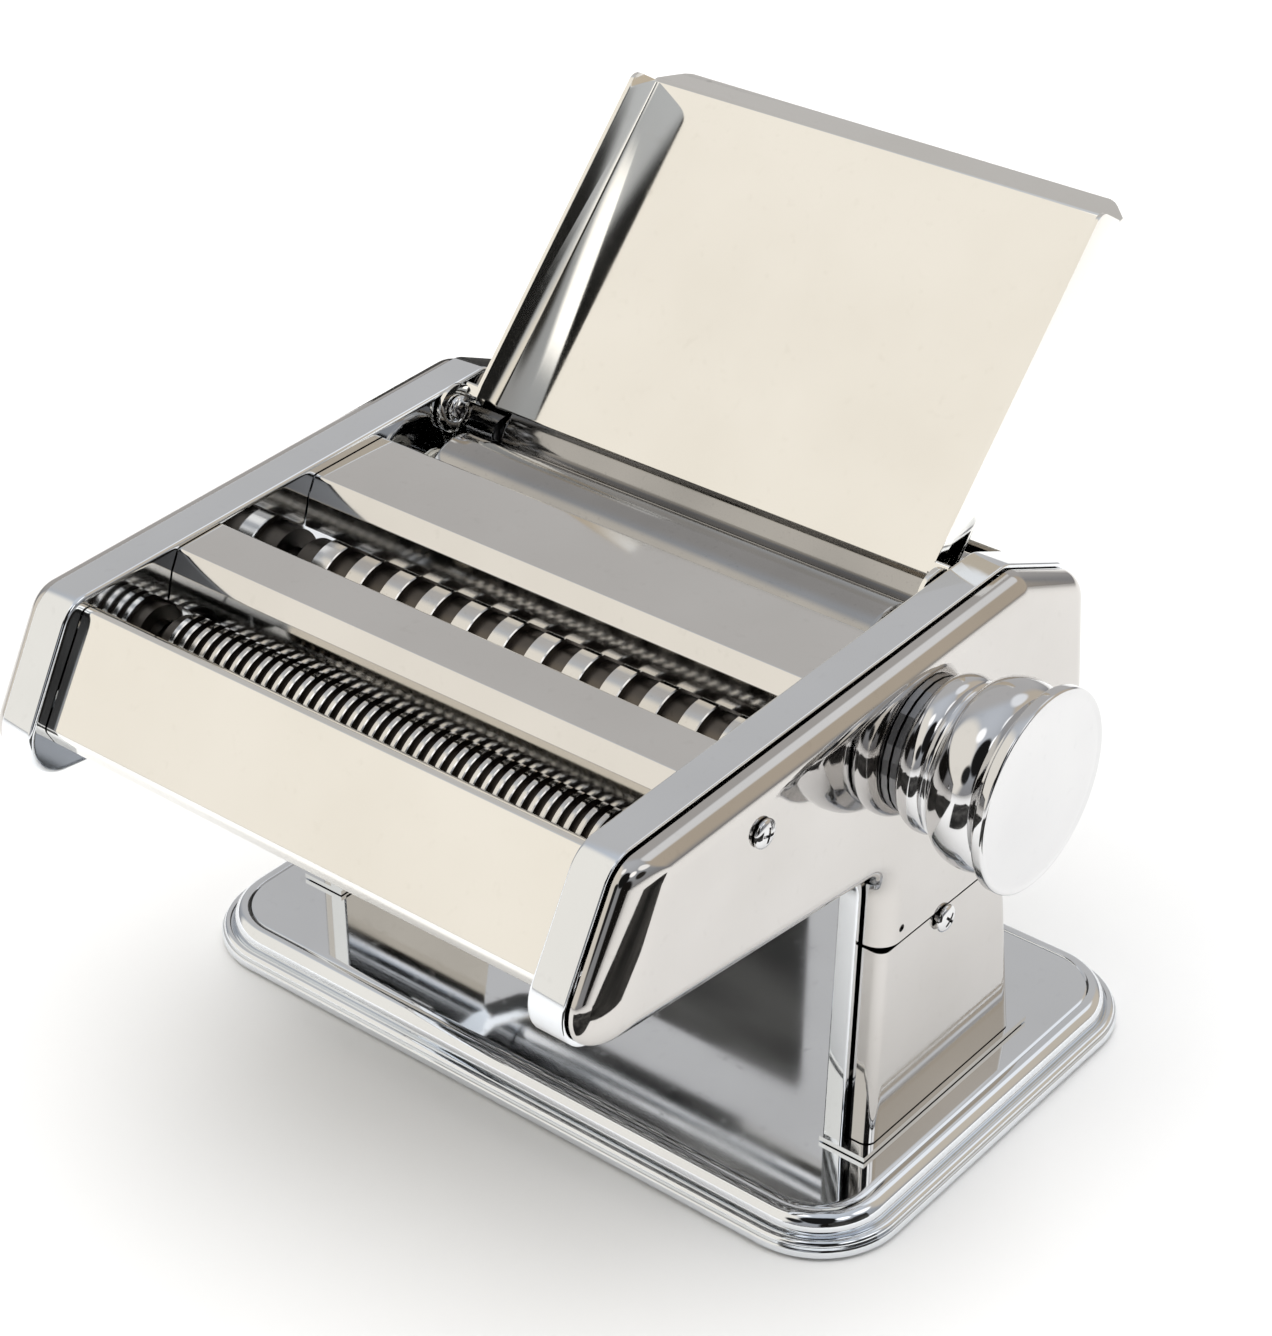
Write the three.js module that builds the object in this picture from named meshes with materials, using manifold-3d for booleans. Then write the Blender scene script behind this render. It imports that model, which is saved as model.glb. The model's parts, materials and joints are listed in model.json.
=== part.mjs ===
// Hand-cranked pasta roller machine: a head with one pair of smooth rollers and two pairs of cutters,
// carried on two legs over a pressed base plate, with a feed plate above and a thickness knob at one end.
// Millimetres, +Z up, +X towards the thickness knob, -Y towards the front. The base plate's middle is
// the drawing's zero; the finished group is moved so that the middle of its footprint is the origin.
import * as THREE from "three";
import { mergeVertices } from "three/addons/utils/BufferGeometryUtils.js";
import Module from "manifold-3d";

const wasm = await Module();
wasm.setup();

// ---- Driving dimensions ----------------------------------------------------------------------------

const GAP = 0.3; // between pieces that touch
const RUNNING_GAP = 0.3; // round a journal in its bush

// Base plate
const BASE_LENGTH = 200;
const BASE_DEPTH = 130;
const BASE_CORNER = 22;
const BASE_TOP = 9;
const BASE_SKIRT = 0.6; // the rim's lower edge above the table
const BASE_SHEET = 1.5;
const BASE_STEP = 7.6; // from the outline in to the flat top
const FOOT_RADIUS = 7;
const FOOT_INSET = 18;

// Ends: side frames and covers
const WEB_INSIDE = 69.3; // the head's web, from the middle of the machine
const FRAME_SHEET = 1.5;
const FLANGE_OUTSIDE = WEB_INSIDE + 9.2;
const LEG_WEB_INSIDE = WEB_INSIDE + 4.2;
const COVER_FACE = WEB_INSIDE + 15.5;
const COVER_SHEET = 1.2;
const COVER_SHOULDER = 5.5;
const COVER_REVEAL = 0.6; // gap line between the flange and the cover
const LEG_FACE = COVER_FACE - 0.3;
const LEG_SHOULDER = 2.6;
const SEAM_HEIGHT = 64;
const FOOT_FLANGE_HEIGHT = 1.2;
const FOOT_FLANGE_OUT = COVER_FACE + 1;

// Side outline of head and leg: y, z
const NOSE = [-137.7, 94.2];
const HEAD_FRONT_TOP = [-116.9, 132];
const HEAD_REAR_TOP = [16.5, 137];
const HEAD_REAR = [43.5, 125.5];
const HEAD_REAR_LOW = [48, 90];
const ARCH_FRONT = [-33.5, 83];
const ARCH_REAR = [16.2, 79];
const LEG_FOOT_FRONT = -35;
const LEG_FOOT_REAR = 28.2;
const NOSE_RADIUS = 10;
const HEAD_RADIUS = 9;
const ARCH_RADIUS = 7;

// Smooth rollers
const ROLLER_RADIUS = 12.5;
const ROLLER_HALF_LENGTH = WEB_INSIDE - 6.8;
const WIDEST_NIP = 2.5;
const NARROWEST_NIP = 0.5;
const FRONT_ROLLER_Y = -2.6;
const ROLLER_HEIGHT = 116.2;
const JOURNAL_RADIUS = 4;

// Cutters
const CUTTER_HEIGHT = 110;
const CUTTER_HALF_LENGTH = WEB_INSIDE - 3.3;
const WIDE = { nip: -57.5, spacing: 20, radius: 10.4, groove: 8.4, pitch: 10.5, ring: 4.95 };
const NARROW = { nip: -98.3, spacing: 17.4, radius: 9, groove: 7.4, pitch: 3.1, ring: 1.35 };
const COMB_SHEET = 1.2;
const COMB_STRIP = 5;

// Gears
const GEAR_WIDTH = 6;
const SMOOTH_GEAR_TEETH = 13;
const CUTTER_GEAR_TEETH = 12;

// Crank sockets
const SOCKET_RADIUS = 5.4;
const SOCKET_SQUARE = 6.4;
const SOCKET_LENGTH = 4.2;
const CRANK_HOLE_RADIUS = 6.6;

// Thickness adjuster
const KNOB_Y = -19;
const KNOB_Z = 111.3;
const KNOB_TURN_DEG = 160;
const KNOB_POSITIONS = 9;
const KNOB_PULL = 4;
const SHAFT_RADIUS = 3;
const CAM_RADIUS = 6;
const SLIDE_SHEET = 2;
const SLIDE_HEIGHT = 21;
const INDEX_RING_RADIUS = 15.5;
const INDEX_RADIUS = 12;
const INDEX_PIN_RADIUS = 1.1;
const CAP_RADIUS = 22.9;
const BEAD_RADIUS = 21.35;
const COLLAR_RADIUS = 17.85;
const WAIST_RADIUS = 16.6;
const KNOB_LENGTH = 22.6;
const CAP_THICKNESS = 3;

// Sheet-metal panels between the webs
const PANEL_SHEET = 1;
const PANEL_HALF_WIDTH = WEB_INSIDE - GAP;
const TIE_RADIUS = 3.5;
const FRONT_TIE = [-78.3, 93];
const REAR_TIE = [26.5, 90];

// Feed plate
const PLATE_HALF_WIDTH = WEB_INSIDE - 4.1;
const PLATE_SHEET = 1;
const PLATE_FOOT = [14.6, 128.7];
const PLATE_TOP = [75.1, 193];
const PLATE_FLANGE = 9;
const PLATE_LIP = 6.6;
const PLATE_LIP_CORNER = 6;
const PLATE_LIP_SLOPE_DEG = 10;
const PIVOT_Y = 4.3;
const PIVOT_Z = 131.3;
const PIVOT_TAB_RADIUS = 6;

// Screws
const SCREW_HEAD_RADIUS = 3.3;
const SCREW_SHANK_RADIUS = 1.6;
const SCREW_HEAD_HEIGHT = 1.5;
const FACE_SCREW = [-78.3, 120.7];
const SEAM_SCREW = [-8.6, SEAM_HEIGHT - 3.2];

// ---- Values worked out from them -------------------------------------------------------------------

const WEB_OUTSIDE = WEB_INSIDE + FRAME_SHEET;
const SLIDE_INSIDE = WEB_OUTSIDE + GAP;
const SLIDE_OUTSIDE = SLIDE_INSIDE + SLIDE_SHEET;
const GEAR_INSIDE = SLIDE_OUTSIDE + 0.5;
const GEAR_OUTSIDE = GEAR_INSIDE + GEAR_WIDTH;
const COVER_EDGE = FLANGE_OUTSIDE + COVER_REVEAL;
const FRAME_FOOT = BASE_TOP + GAP;
const REAR_ROLLER_Y = FRONT_ROLLER_Y + 2 * ROLLER_RADIUS + WIDEST_NIP;
const NIP_TRAVEL = WIDEST_NIP - NARROWEST_NIP;
const BORE_RADIUS = JOURNAL_RADIUS + RUNNING_GAP;
const BUSH_RADIUS = JOURNAL_RADIUS + 2;
const CAM_START = THREE.MathUtils.degToRad((180 - KNOB_TURN_DEG) / 2);
const CAM_OFFSET = NIP_TRAVEL / (2 * Math.cos(CAM_START));
const INDEX_RING_FACE = COVER_FACE + GAP + 1.5;
const KNOB_BACK = INDEX_RING_FACE + GAP;
const KNOB_FRONT = KNOB_BACK + KNOB_LENGTH;
const SHAFT_HEAD = KNOB_FRONT - 5;
const SMOOTH_GEAR = {
  teeth: SMOOTH_GEAR_TEETH,
  tip: ROLLER_RADIUS + NARROWEST_NIP / 2 + 1.25,
  root: ROLLER_RADIUS + NARROWEST_NIP / 2 - 1.75,
};
const SPACING_TO_TIP = 0.5 * (1 + 1.8 / CUTTER_GEAR_TEETH);
const SPACING_TO_ROOT = 0.5 * (1 - 2.3 / CUTTER_GEAR_TEETH);

// ---- Finishes --------------------------------------------------------------------------------------

const FINISHES = {
  chrome: new THREE.MeshStandardMaterial({ color: 0xd9dbde, roughness: 0.12, metalness: 1 }),
  warmSteel: new THREE.MeshStandardMaterial({ color: 0xe6dfd2, roughness: 0.16, metalness: 1 }),
  rollerSteel: new THREE.MeshStandardMaterial({ color: 0xcfcfcc, roughness: 0.22, metalness: 1 }),
  gearSteel: new THREE.MeshStandardMaterial({ color: 0x8f9194, roughness: 0.4, metalness: 1 }),
  nylon: new THREE.MeshStandardMaterial({ color: 0xe9e6dc, roughness: 0.55, metalness: 0 }),
  rubber: new THREE.MeshStandardMaterial({ color: 0x242424, roughness: 0.85, metalness: 0 }),
};

// ---- Shape helpers ---------------------------------------------------------------------------------

// Local x, y, z of a flat outline and its thickness become y, z, x of the machine.
const ACROSS = new THREE.Matrix4().makeBasis(
  new THREE.Vector3(0, 1, 0),
  new THREE.Vector3(0, 0, 1),
  new THREE.Vector3(1, 0, 0),
);

function solid(geometry) {
  const plain = geometry.index ? geometry.toNonIndexed() : geometry.clone();
  plain.deleteAttribute("normal");
  plain.deleteAttribute("uv");
  const merged = mergeVertices(plain, 1e-4);
  return new wasm.Manifold(
    new wasm.Mesh({
      numProp: 3,
      vertProperties: merged.attributes.position.array,
      triVerts: new Uint32Array(merged.index.array),
    }),
  );
}

function join(first, ...others) {
  return others.reduce((whole, other) => whole.add(other), first);
}

function cut(whole, ...tools) {
  return tools.reduce((rest, tool) => rest.subtract(tool), whole);
}

// A block between two corners.
function block(low, high) {
  const size = high.map((value, i) => value - low[i]);
  const middle = high.map((value, i) => (value + low[i]) / 2);
  return solid(new THREE.BoxGeometry(...size).translate(...middle));
}

// A side outline, as [y, z] points anticlockwise, given thickness from x0 to x1.
function plate(outline, x0, x1) {
  const shape = new THREE.Shape(outline.map(([y, z]) => new THREE.Vector2(y, z)));
  const depth = x1 - x0;
  const geometry = new THREE.ExtrudeGeometry(shape, { depth, bevelEnabled: false });
  return solid(geometry.applyMatrix4(ACROSS).translate(x0, 0, 0));
}

// A round bar along x about the line (y, z).
function bar(radius, x0, x1, y, z, sides = 16) {
  const geometry = new THREE.CylinderGeometry(radius, radius, x1 - x0, sides);
  return solid(geometry.rotateZ(-Math.PI / 2).translate((x0 + x1) / 2, y, z));
}

// A body turned about the line (y, z): the profile is [x, radius] points with x rising.
function turned(profile, y, z, sides) {
  const points = profile.map(([x, radius]) => new THREE.Vector2(radius, x));
  return solid(new THREE.LatheGeometry(points, sides).rotateZ(-Math.PI / 2).translate(0, y, z));
}

// The outline round a polygon of [y, z, radius] corners (anticlockwise), moved inwards by `inset`.
function rounded(corners, inset = 0, steps = 3) {
  const count = corners.length;
  const edges = corners.map(([y, z], i) => {
    const next = corners[(i + 1) % count];
    const along = new THREE.Vector2(next[0] - y, next[1] - z).normalize();
    const inward = new THREE.Vector2(-along.y, along.x);
    return { along, inward, start: new THREE.Vector2(y, z).addScaledVector(inward, inset) };
  });
  return corners.flatMap(([, , radius], i) => {
    const before = edges[(i + count - 1) % count];
    const after = edges[i];
    const turn = before.along.cross(after.along);
    const reach = after.start.clone().sub(before.start).cross(after.along) / turn;
    const corner = before.start.clone().addScaledVector(before.along, reach);
    const wanted = turn > 0 ? radius - inset : radius + inset;
    if (!radius) return [corner.toArray()];
    const arc = Math.max(wanted, 0.1);
    const angle = Math.acos(THREE.MathUtils.clamp(before.along.dot(after.along), -1, 1));
    const tangent = arc * Math.tan(angle / 2);
    const side = Math.sign(turn);
    const middle = corner.clone().addScaledVector(before.along, -tangent);
    middle.addScaledVector(before.inward, side * arc);
    const first = Math.atan2(-side * before.inward.y, -side * before.inward.x);
    return Array.from({ length: steps + 1 }, (_, k) => {
      const at = first + (side * angle * k) / steps;
      return [middle.x + arc * Math.cos(at), middle.y + arc * Math.sin(at)];
    });
  });
}

// A solid through outlines of equal point count, each [outline, height], stacked along local z.
function stacked(levels) {
  const count = levels[0][0].length;
  const points = levels.flatMap(([outline, height]) => outline.flatMap(([u, v]) => [u, v, height]));
  const index = [];
  for (let level = 0; level + 1 < levels.length; level++) {
    for (let i = 0; i < count; i++) {
      const a = level * count + i;
      const b = level * count + ((i + 1) % count);
      index.push(a, b, b + count, a, b + count, a + count);
    }
  }
  const capOf = (outline) =>
    THREE.ShapeUtils.triangulateShape(outline.map(([u, v]) => new THREE.Vector2(u, v)), []);
  const top = (levels.length - 1) * count;
  for (const [a, b, c] of capOf(levels[0][0])) index.push(c, b, a);
  for (const [a, b, c] of capOf(levels[levels.length - 1][0])) index.push(top + a, top + b, top + c);
  const geometry = new THREE.BufferGeometry();
  geometry.setAttribute("position", new THREE.Float32BufferAttribute(points, 3));
  geometry.setIndex(index);
  return geometry;
}

// A bent sheet: the path is its outer face as [y, z] points, and the thickness lies to its left.
function bentSheet(path, thickness) {
  const normals = path.slice(1).map(([y, z], i) => {
    const along = new THREE.Vector2(y - path[i][0], z - path[i][1]).normalize();
    return new THREE.Vector2(-along.y, along.x);
  });
  const inner = path.map(([y, z], i) => {
    const before = normals[Math.max(i - 1, 0)];
    const after = normals[Math.min(i, normals.length - 1)];
    const middle = before.clone().add(after).normalize();
    return [
      y + (middle.x * thickness) / middle.dot(after),
      z + (middle.y * thickness) / middle.dot(after),
    ];
  });
  return [...path, ...inner.reverse()];
}

// A deep-drawn shell: an outline with a rounded shoulder, open towards the middle of the machine.
function drawnShell(corners, inset, shoulder, edge, face, sheet) {
  const steps = 3;
  const skin = (extra, from) => {
    const bend = shoulder - extra;
    const levels = [[rounded(corners, inset + extra), from]];
    for (let k = 0; k <= steps; k++) {
      const turn = ((Math.PI / 2) * k) / steps;
      const drawn = inset + extra + bend * (1 - Math.cos(turn));
      levels.push([rounded(corners, drawn), face - extra - bend + bend * Math.sin(turn)]);
    }
    return solid(stacked(levels).applyMatrix4(ACROSS));
  };
  return cut(skin(0, edge), skin(sheet, edge - 1));
}

// ---- Pieces ----------------------------------------------------------------------------------------

const root = new THREE.Group();
const machine = new THREE.Group();
root.add(machine);

// Adds a solid as a named piece. `side` -1 mirrors it to the crank end.
function add(name, body, finish, side = 1) {
  const { vertProperties, triVerts } = body.getMesh();
  const geometry = new THREE.BufferGeometry();
  geometry.setAttribute("position", new THREE.BufferAttribute(new Float32Array(vertProperties), 3));
  geometry.setIndex(new THREE.BufferAttribute(new Uint32Array(triVerts), 1));
  geometry.computeVertexNormals();
  const mesh = new THREE.Mesh(geometry, FINISHES[finish]);
  mesh.name = name;
  mesh.scale.x = side;
  machine.add(mesh);
}

const SIDES = [
  ["left", -1],
  ["right", 1],
];

// Rounded rectangle of the base, moved in by `inset`.
function baseOutline(inset) {
  const x = BASE_LENGTH / 2;
  const y = BASE_DEPTH / 2;
  const r = BASE_CORNER;
  return rounded([[-x, -y, r], [x, -y, r], [x, y, r], [-x, y, r]], inset, 5);
}

// Pressed base: a low rim lip, a rounded step, and a flat top over an open underside.
function basePlate() {
  const lip = BASE_STEP * 0.4;
  const outside = [
    [0.5, BASE_SKIRT],
    [0, 1.6],
    [0.3, 3.2],
    [1.4, 4.4],
    [lip, 4.7],
    [lip + 0.6, 6.6],
    [lip + 2, 8.3],
    [BASE_STEP, BASE_TOP],
  ];
  const inside = [
    [0.5 + BASE_SHEET, BASE_SKIRT - 1],
    [0.5 + BASE_SHEET, 2.4],
    [lip + BASE_SHEET, 3.4],
    [BASE_STEP, BASE_TOP - BASE_SHEET],
  ];
  const levels = (steps) => steps.map(([inset, height]) => [baseOutline(inset), height]);
  return cut(solid(stacked(levels(outside))), solid(stacked(levels(inside))));
}

function rubberFoot(x, y) {
  const height = BASE_TOP - BASE_SHEET - GAP;
  const geometry = new THREE.CylinderGeometry(FOOT_RADIUS, FOOT_RADIUS - 1, height, 20);
  return solid(geometry.rotateX(Math.PI / 2).translate(x, y, height / 2));
}

// The leg's front and rear edges at a height.
function legFront(z) {
  const share = (z - FRAME_FOOT) / (ARCH_FRONT[1] - FRAME_FOOT);
  return LEG_FOOT_FRONT + share * (ARCH_FRONT[0] - LEG_FOOT_FRONT);
}

function legRear(z) {
  const share = (z - FRAME_FOOT) / (ARCH_REAR[1] - FRAME_FOOT);
  return LEG_FOOT_REAR + share * (ARCH_REAR[0] - LEG_FOOT_REAR);
}

const HEAD_TOP_CORNERS = [
  [...HEAD_REAR_LOW, HEAD_RADIUS],
  [...HEAD_REAR, HEAD_RADIUS],
  [...HEAD_REAR_TOP, HEAD_RADIUS],
  [...HEAD_FRONT_TOP, HEAD_RADIUS],
];

// Head and leg in one outline, with the leg ending at height `foot`.
function endCorners(foot) {
  return [
    [...NOSE, NOSE_RADIUS],
    [...ARCH_FRONT, ARCH_RADIUS],
    [legFront(foot), foot, 0],
    [legRear(foot), foot, 0],
    [...ARCH_REAR, ARCH_RADIUS],
    ...HEAD_TOP_CORNERS,
  ];
}

function headCorners() {
  return [[...NOSE, NOSE_RADIUS], [...ARCH_FRONT, 0], [...ARCH_REAR, 0], ...HEAD_TOP_CORNERS];
}

// Lines of the rollers' axes: [y, z].
const axisOf = {
  frontRoller: [FRONT_ROLLER_Y, ROLLER_HEIGHT],
  rearRoller: [REAR_ROLLER_Y, ROLLER_HEIGHT],
  wideFront: [WIDE.nip - WIDE.spacing / 2, CUTTER_HEIGHT],
  wideRear: [WIDE.nip + WIDE.spacing / 2, CUTTER_HEIGHT],
  narrowFront: [NARROW.nip - NARROW.spacing / 2, CUTTER_HEIGHT],
  narrowRear: [NARROW.nip + NARROW.spacing / 2, CUTTER_HEIGHT],
  knob: [KNOB_Y, KNOB_Z],
  pivot: [PIVOT_Y, PIVOT_Z],
};

// A slot along y with round ends, from y0 to y1.
function slot(radius, x0, x1, y0, y1, z) {
  const bridge = block([x0, y0, z - radius], [x1, y1, z + radius]);
  return join(bar(radius, x0, x1, y0, z), bridge, bar(radius, x0, x1, y1, z));
}

// Side frame: head web with a deep flange, leg web set out, and a foot flange on the base.
function sideFrame() {
  const outer = plate(rounded(endCorners(FRAME_FOOT)), LEG_WEB_INSIDE, FLANGE_OUTSIDE);
  const hollow = plate(
    rounded(endCorners(FRAME_FOOT), FRAME_SHEET),
    LEG_WEB_INSIDE + FRAME_SHEET,
    FLANGE_OUTSIDE + 1,
  );
  const headBox = plate(rounded(headCorners()), WEB_INSIDE, LEG_WEB_INSIDE + FRAME_SHEET);
  const headHollow = plate(rounded(headCorners(), FRAME_SHEET), WEB_OUTSIDE, FLANGE_OUTSIDE + 1);
  const footFlange = block(
    [LEG_WEB_INSIDE, LEG_FOOT_FRONT - 1.2, FRAME_FOOT],
    [FOOT_FLANGE_OUT, LEG_FOOT_REAR + 1.8, FRAME_FOOT + FOOT_FLANGE_HEIGHT],
  );
  const shell = cut(join(cut(outer, hollow), headBox), headHollow);
  const through = [WEB_INSIDE - 1, WEB_OUTSIDE + 1];
  const cutterHoles = ["wideFront", "wideRear", "narrowFront", "narrowRear"].map((name) =>
    bar(JOURNAL_RADIUS + 1, ...through, ...axisOf[name]),
  );
  const y = REAR_ROLLER_Y;
  return cut(
    join(shell, footFlange),
    ...cutterHoles,
    bar(BUSH_RADIUS + GAP, ...through, ...axisOf.frontRoller),
    slot(JOURNAL_RADIUS + 0.8, ...through, y - NIP_TRAVEL, y, ROLLER_HEIGHT),
    bar(SHAFT_RADIUS + RUNNING_GAP, ...through, ...axisOf.knob),
    bar(SCREW_SHANK_RADIUS + GAP, ...through, ...FACE_SCREW, 12),
    bar(SCREW_SHANK_RADIUS + GAP, ...through, ...axisOf.pivot, 12),
    bar(SCREW_SHANK_RADIUS + GAP, LEG_WEB_INSIDE - 1, FLANGE_OUTSIDE, ...SEAM_SCREW, 12),
  );
}

// Outer cover of the head and the top of the leg, ending at the seam.
function headCover() {
  const shell = drawnShell(
    endCorners(SEAM_HEIGHT - 30),
    0.4,
    COVER_SHOULDER,
    COVER_EDGE,
    COVER_FACE,
    COVER_SHEET,
  );
  const below = block([COVER_EDGE - 2, -80, 0], [COVER_FACE + 1, 80, SEAM_HEIGHT]);
  return cut(
    shell,
    below,
    bar(SCREW_SHANK_RADIUS + GAP, COVER_EDGE, COVER_FACE + 1, ...FACE_SCREW, 12),
  );
}

// Cover of the leg below the seam.
function legCover() {
  const low = FRAME_FOOT - 20;
  const high = SEAM_HEIGHT + 20;
  const corners = [
    [legFront(low), low, 0],
    [legRear(low), low, 0],
    [legRear(high), high, 0],
    [legFront(high), high, 0],
  ];
  const shell = drawnShell(corners, 0.4, LEG_SHOULDER, COVER_EDGE, LEG_FACE, COVER_SHEET);
  const foot = FRAME_FOOT + FOOT_FLANGE_HEIGHT + GAP;
  const above = block([COVER_EDGE - 2, -80, SEAM_HEIGHT - GAP], [LEG_FACE + 1, 80, high + 30]);
  const below = block([COVER_EDGE - 2, -80, low - 30], [LEG_FACE + 1, 80, foot]);
  return cut(
    shell,
    above,
    below,
    bar(SCREW_SHANK_RADIUS + GAP, COVER_EDGE, LEG_FACE + 1, ...SEAM_SCREW, 12),
  );
}

// Screw along x with a domed head at `face` and a cross recess; the shank runs in to `tip`.
function screw(face, tip, y, z) {
  const head = turned(
    [
      [face, 0],
      [face, SCREW_HEAD_RADIUS],
      [face + SCREW_HEAD_HEIGHT * 0.6, SCREW_HEAD_RADIUS * 0.92],
      [face + SCREW_HEAD_HEIGHT, SCREW_HEAD_RADIUS * 0.5],
      [face + SCREW_HEAD_HEIGHT, 0],
    ],
    y,
    z,
    12,
  );
  const arm = SCREW_HEAD_RADIUS * 0.5;
  const depth = face + SCREW_HEAD_HEIGHT * 0.4;
  const recess = (dy, dz) => block([depth, y - dy, z - dz], [face + 5, y + dy, z + dz]);
  const shank = bar(SCREW_SHANK_RADIUS, tip, face + 0.2, y, z, 8);
  return cut(join(head, shank), join(recess(arm, 0.35), recess(0.35, arm)));
}

// A smooth roller: barrel with chamfered ends and two journals. Journal ends are x values.
function smoothRoller(axis, leftEnd, rightEnd) {
  const half = ROLLER_HALF_LENGTH;
  const profile = [
    [leftEnd, 0],
    [leftEnd, JOURNAL_RADIUS],
    [-half, JOURNAL_RADIUS],
    [-half, ROLLER_RADIUS - 0.8],
    [-half + 0.8, ROLLER_RADIUS],
    [half - 0.8, ROLLER_RADIUS],
    [half, ROLLER_RADIUS - 0.8],
    [half, JOURNAL_RADIUS],
    [rightEnd, JOURNAL_RADIUS],
    [rightEnd, 0],
  ];
  return turned(profile, ...axis, 28);
}

// Middles of a cutter's rings along x. The rear roller's rings stand between the front one's.
function ringPlaces(cutter, rear) {
  const spaces = Math.floor((2 * CUTTER_HALF_LENGTH - cutter.ring - 1) / cutter.pitch);
  const count = rear ? spaces : spaces + 1;
  return Array.from({ length: count }, (_, i) => (i - (count - 1) / 2) * cutter.pitch);
}

function cutterRoller(cutter, rear, axis, leftEnd, rightEnd, sides) {
  const half = CUTTER_HALF_LENGTH;
  const profile = [
    [leftEnd, 0],
    [leftEnd, JOURNAL_RADIUS],
    [-half, JOURNAL_RADIUS],
    [-half, cutter.groove],
  ];
  for (const x of ringPlaces(cutter, rear)) {
    const low = x - cutter.ring / 2;
    const high = x + cutter.ring / 2;
    profile.push([low, cutter.groove], [low, cutter.radius]);
    profile.push([high, cutter.radius], [high, cutter.groove]);
  }
  profile.push([half, cutter.groove], [half, JOURNAL_RADIUS], [rightEnd, JOURNAL_RADIUS], [rightEnd, 0]);
  return turned(profile, ...axis, sides);
}

// Comb below a cutter roller: a strip across the machine with a finger up into each groove.
function comb(cutter, rear, axis) {
  const [y, z] = axis;
  const low = z - cutter.radius - COMB_STRIP;
  const root = z - cutter.radius - 0.6;
  const tip = z - cutter.groove - 0.5;
  const places = ringPlaces(cutter, rear);
  const finger = (cutter.pitch - cutter.ring) / 2 - GAP;
  const outline = [[-PANEL_HALF_WIDTH, low], [PANEL_HALF_WIDTH, low], [PANEL_HALF_WIDTH, root]];
  for (const x of places.slice(1).reverse()) {
    const middle = x - cutter.pitch / 2;
    outline.push([middle + finger, root], [middle + finger, tip], [middle - finger, tip]);
    outline.push([middle - finger, root]);
  }
  outline.push([-PANEL_HALF_WIDTH, root]);
  const shape = new THREE.Shape(outline.map(([x, height]) => new THREE.Vector2(x, height)));
  const sheet = new THREE.ExtrudeGeometry(shape, { depth: COMB_SHEET, bevelEnabled: false });
  return solid(sheet.rotateX(Math.PI / 2).translate(0, y + COMB_SHEET / 2, 0));
}

// Spur gear with straight-sided teeth; `lead` is the angle of its first tooth.
function gear({ teeth, tip, root }, lead, axis) {
  const step = (2 * Math.PI) / teeth;
  const outline = [];
  for (let i = 0; i < teeth; i++) {
    const middle = lead + i * step;
    for (const [share, radius] of [[-0.29, root], [-0.11, tip], [0.11, tip], [0.29, root]]) {
      const at = middle + share * step;
      outline.push([axis[0] + radius * Math.cos(at), axis[1] + radius * Math.sin(at)]);
    }
  }
  return cut(
    plate(outline, GEAR_INSIDE, GEAR_OUTSIDE),
    bar(BORE_RADIUS, GEAR_INSIDE - 1, GEAR_OUTSIDE + 1, ...axis),
  );
}

function cutterGear(spacing) {
  return {
    teeth: CUTTER_GEAR_TEETH,
    tip: spacing * SPACING_TO_TIP,
    root: spacing * SPACING_TO_ROOT,
  };
}

// Square socket that takes the crank's end.
function crankSocket(axis) {
  const start = GEAR_OUTSIDE + GAP;
  const half = SOCKET_SQUARE / 2;
  return cut(
    bar(SOCKET_RADIUS, start, start + SOCKET_LENGTH, ...axis),
    block([start + 1, axis[0] - half, axis[1] - half], [start + 9, axis[0] + half, axis[1] + half]),
  );
}

// Nylon plate outside the web that carries both shafts of a cutter pair.
function bearingPlate(front, rear) {
  const [x0, x1] = [SLIDE_INSIDE, SLIDE_OUTSIDE - GAP];
  return cut(
    slot(BUSH_RADIUS + 0.5, x0, x1, front[0], rear[0], front[1]),
    bar(BORE_RADIUS, x0 - 1, x1 + 1, ...front),
    bar(BORE_RADIUS, x0 - 1, x1 + 1, ...rear),
  );
}

// Bush of the fixed smooth roller; the slide plate's slot rides on it.
function rollerBush() {
  const [x0, x1] = [WEB_INSIDE - 1, SLIDE_OUTSIDE];
  return cut(
    bar(BUSH_RADIUS, x0, x1, ...axisOf.frontRoller),
    bar(BORE_RADIUS, x0 - 1, x1 + 1, ...axisOf.frontRoller),
  );
}

// Slide plate: carries the rear roller, runs on the front bush and is moved by the eccentric.
function slidePlate() {
  const middle = ROLLER_HEIGHT - 1.6;
  const low = middle - SLIDE_HEIGHT / 2;
  const high = middle + SLIDE_HEIGHT / 2;
  const front = KNOB_Y - CAM_RADIUS - 4;
  const rear = REAR_ROLLER_Y + JOURNAL_RADIUS + 5;
  const outline = rounded([[front, low, 3], [rear, low, 3], [rear, high, 3], [front, high, 3]], 0, 3);
  const through = [SLIDE_INSIDE - 1, SLIDE_OUTSIDE + 1];
  const camMiddle = KNOB_Y + CAM_OFFSET * Math.cos(CAM_START);
  const window = CAM_RADIUS + CAM_OFFSET + 0.5;
  const across = CAM_RADIUS + 0.4;
  return cut(
    plate(outline, SLIDE_INSIDE, SLIDE_OUTSIDE),
    block(
      [through[0], camMiddle - across, KNOB_Z - window],
      [through[1], camMiddle + across, KNOB_Z + window],
    ),
    slot(BUSH_RADIUS + GAP, ...through, FRONT_ROLLER_Y, FRONT_ROLLER_Y + NIP_TRAVEL, ROLLER_HEIGHT),
    bar(BORE_RADIUS, ...through, ...axisOf.rearRoller),
  );
}

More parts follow.
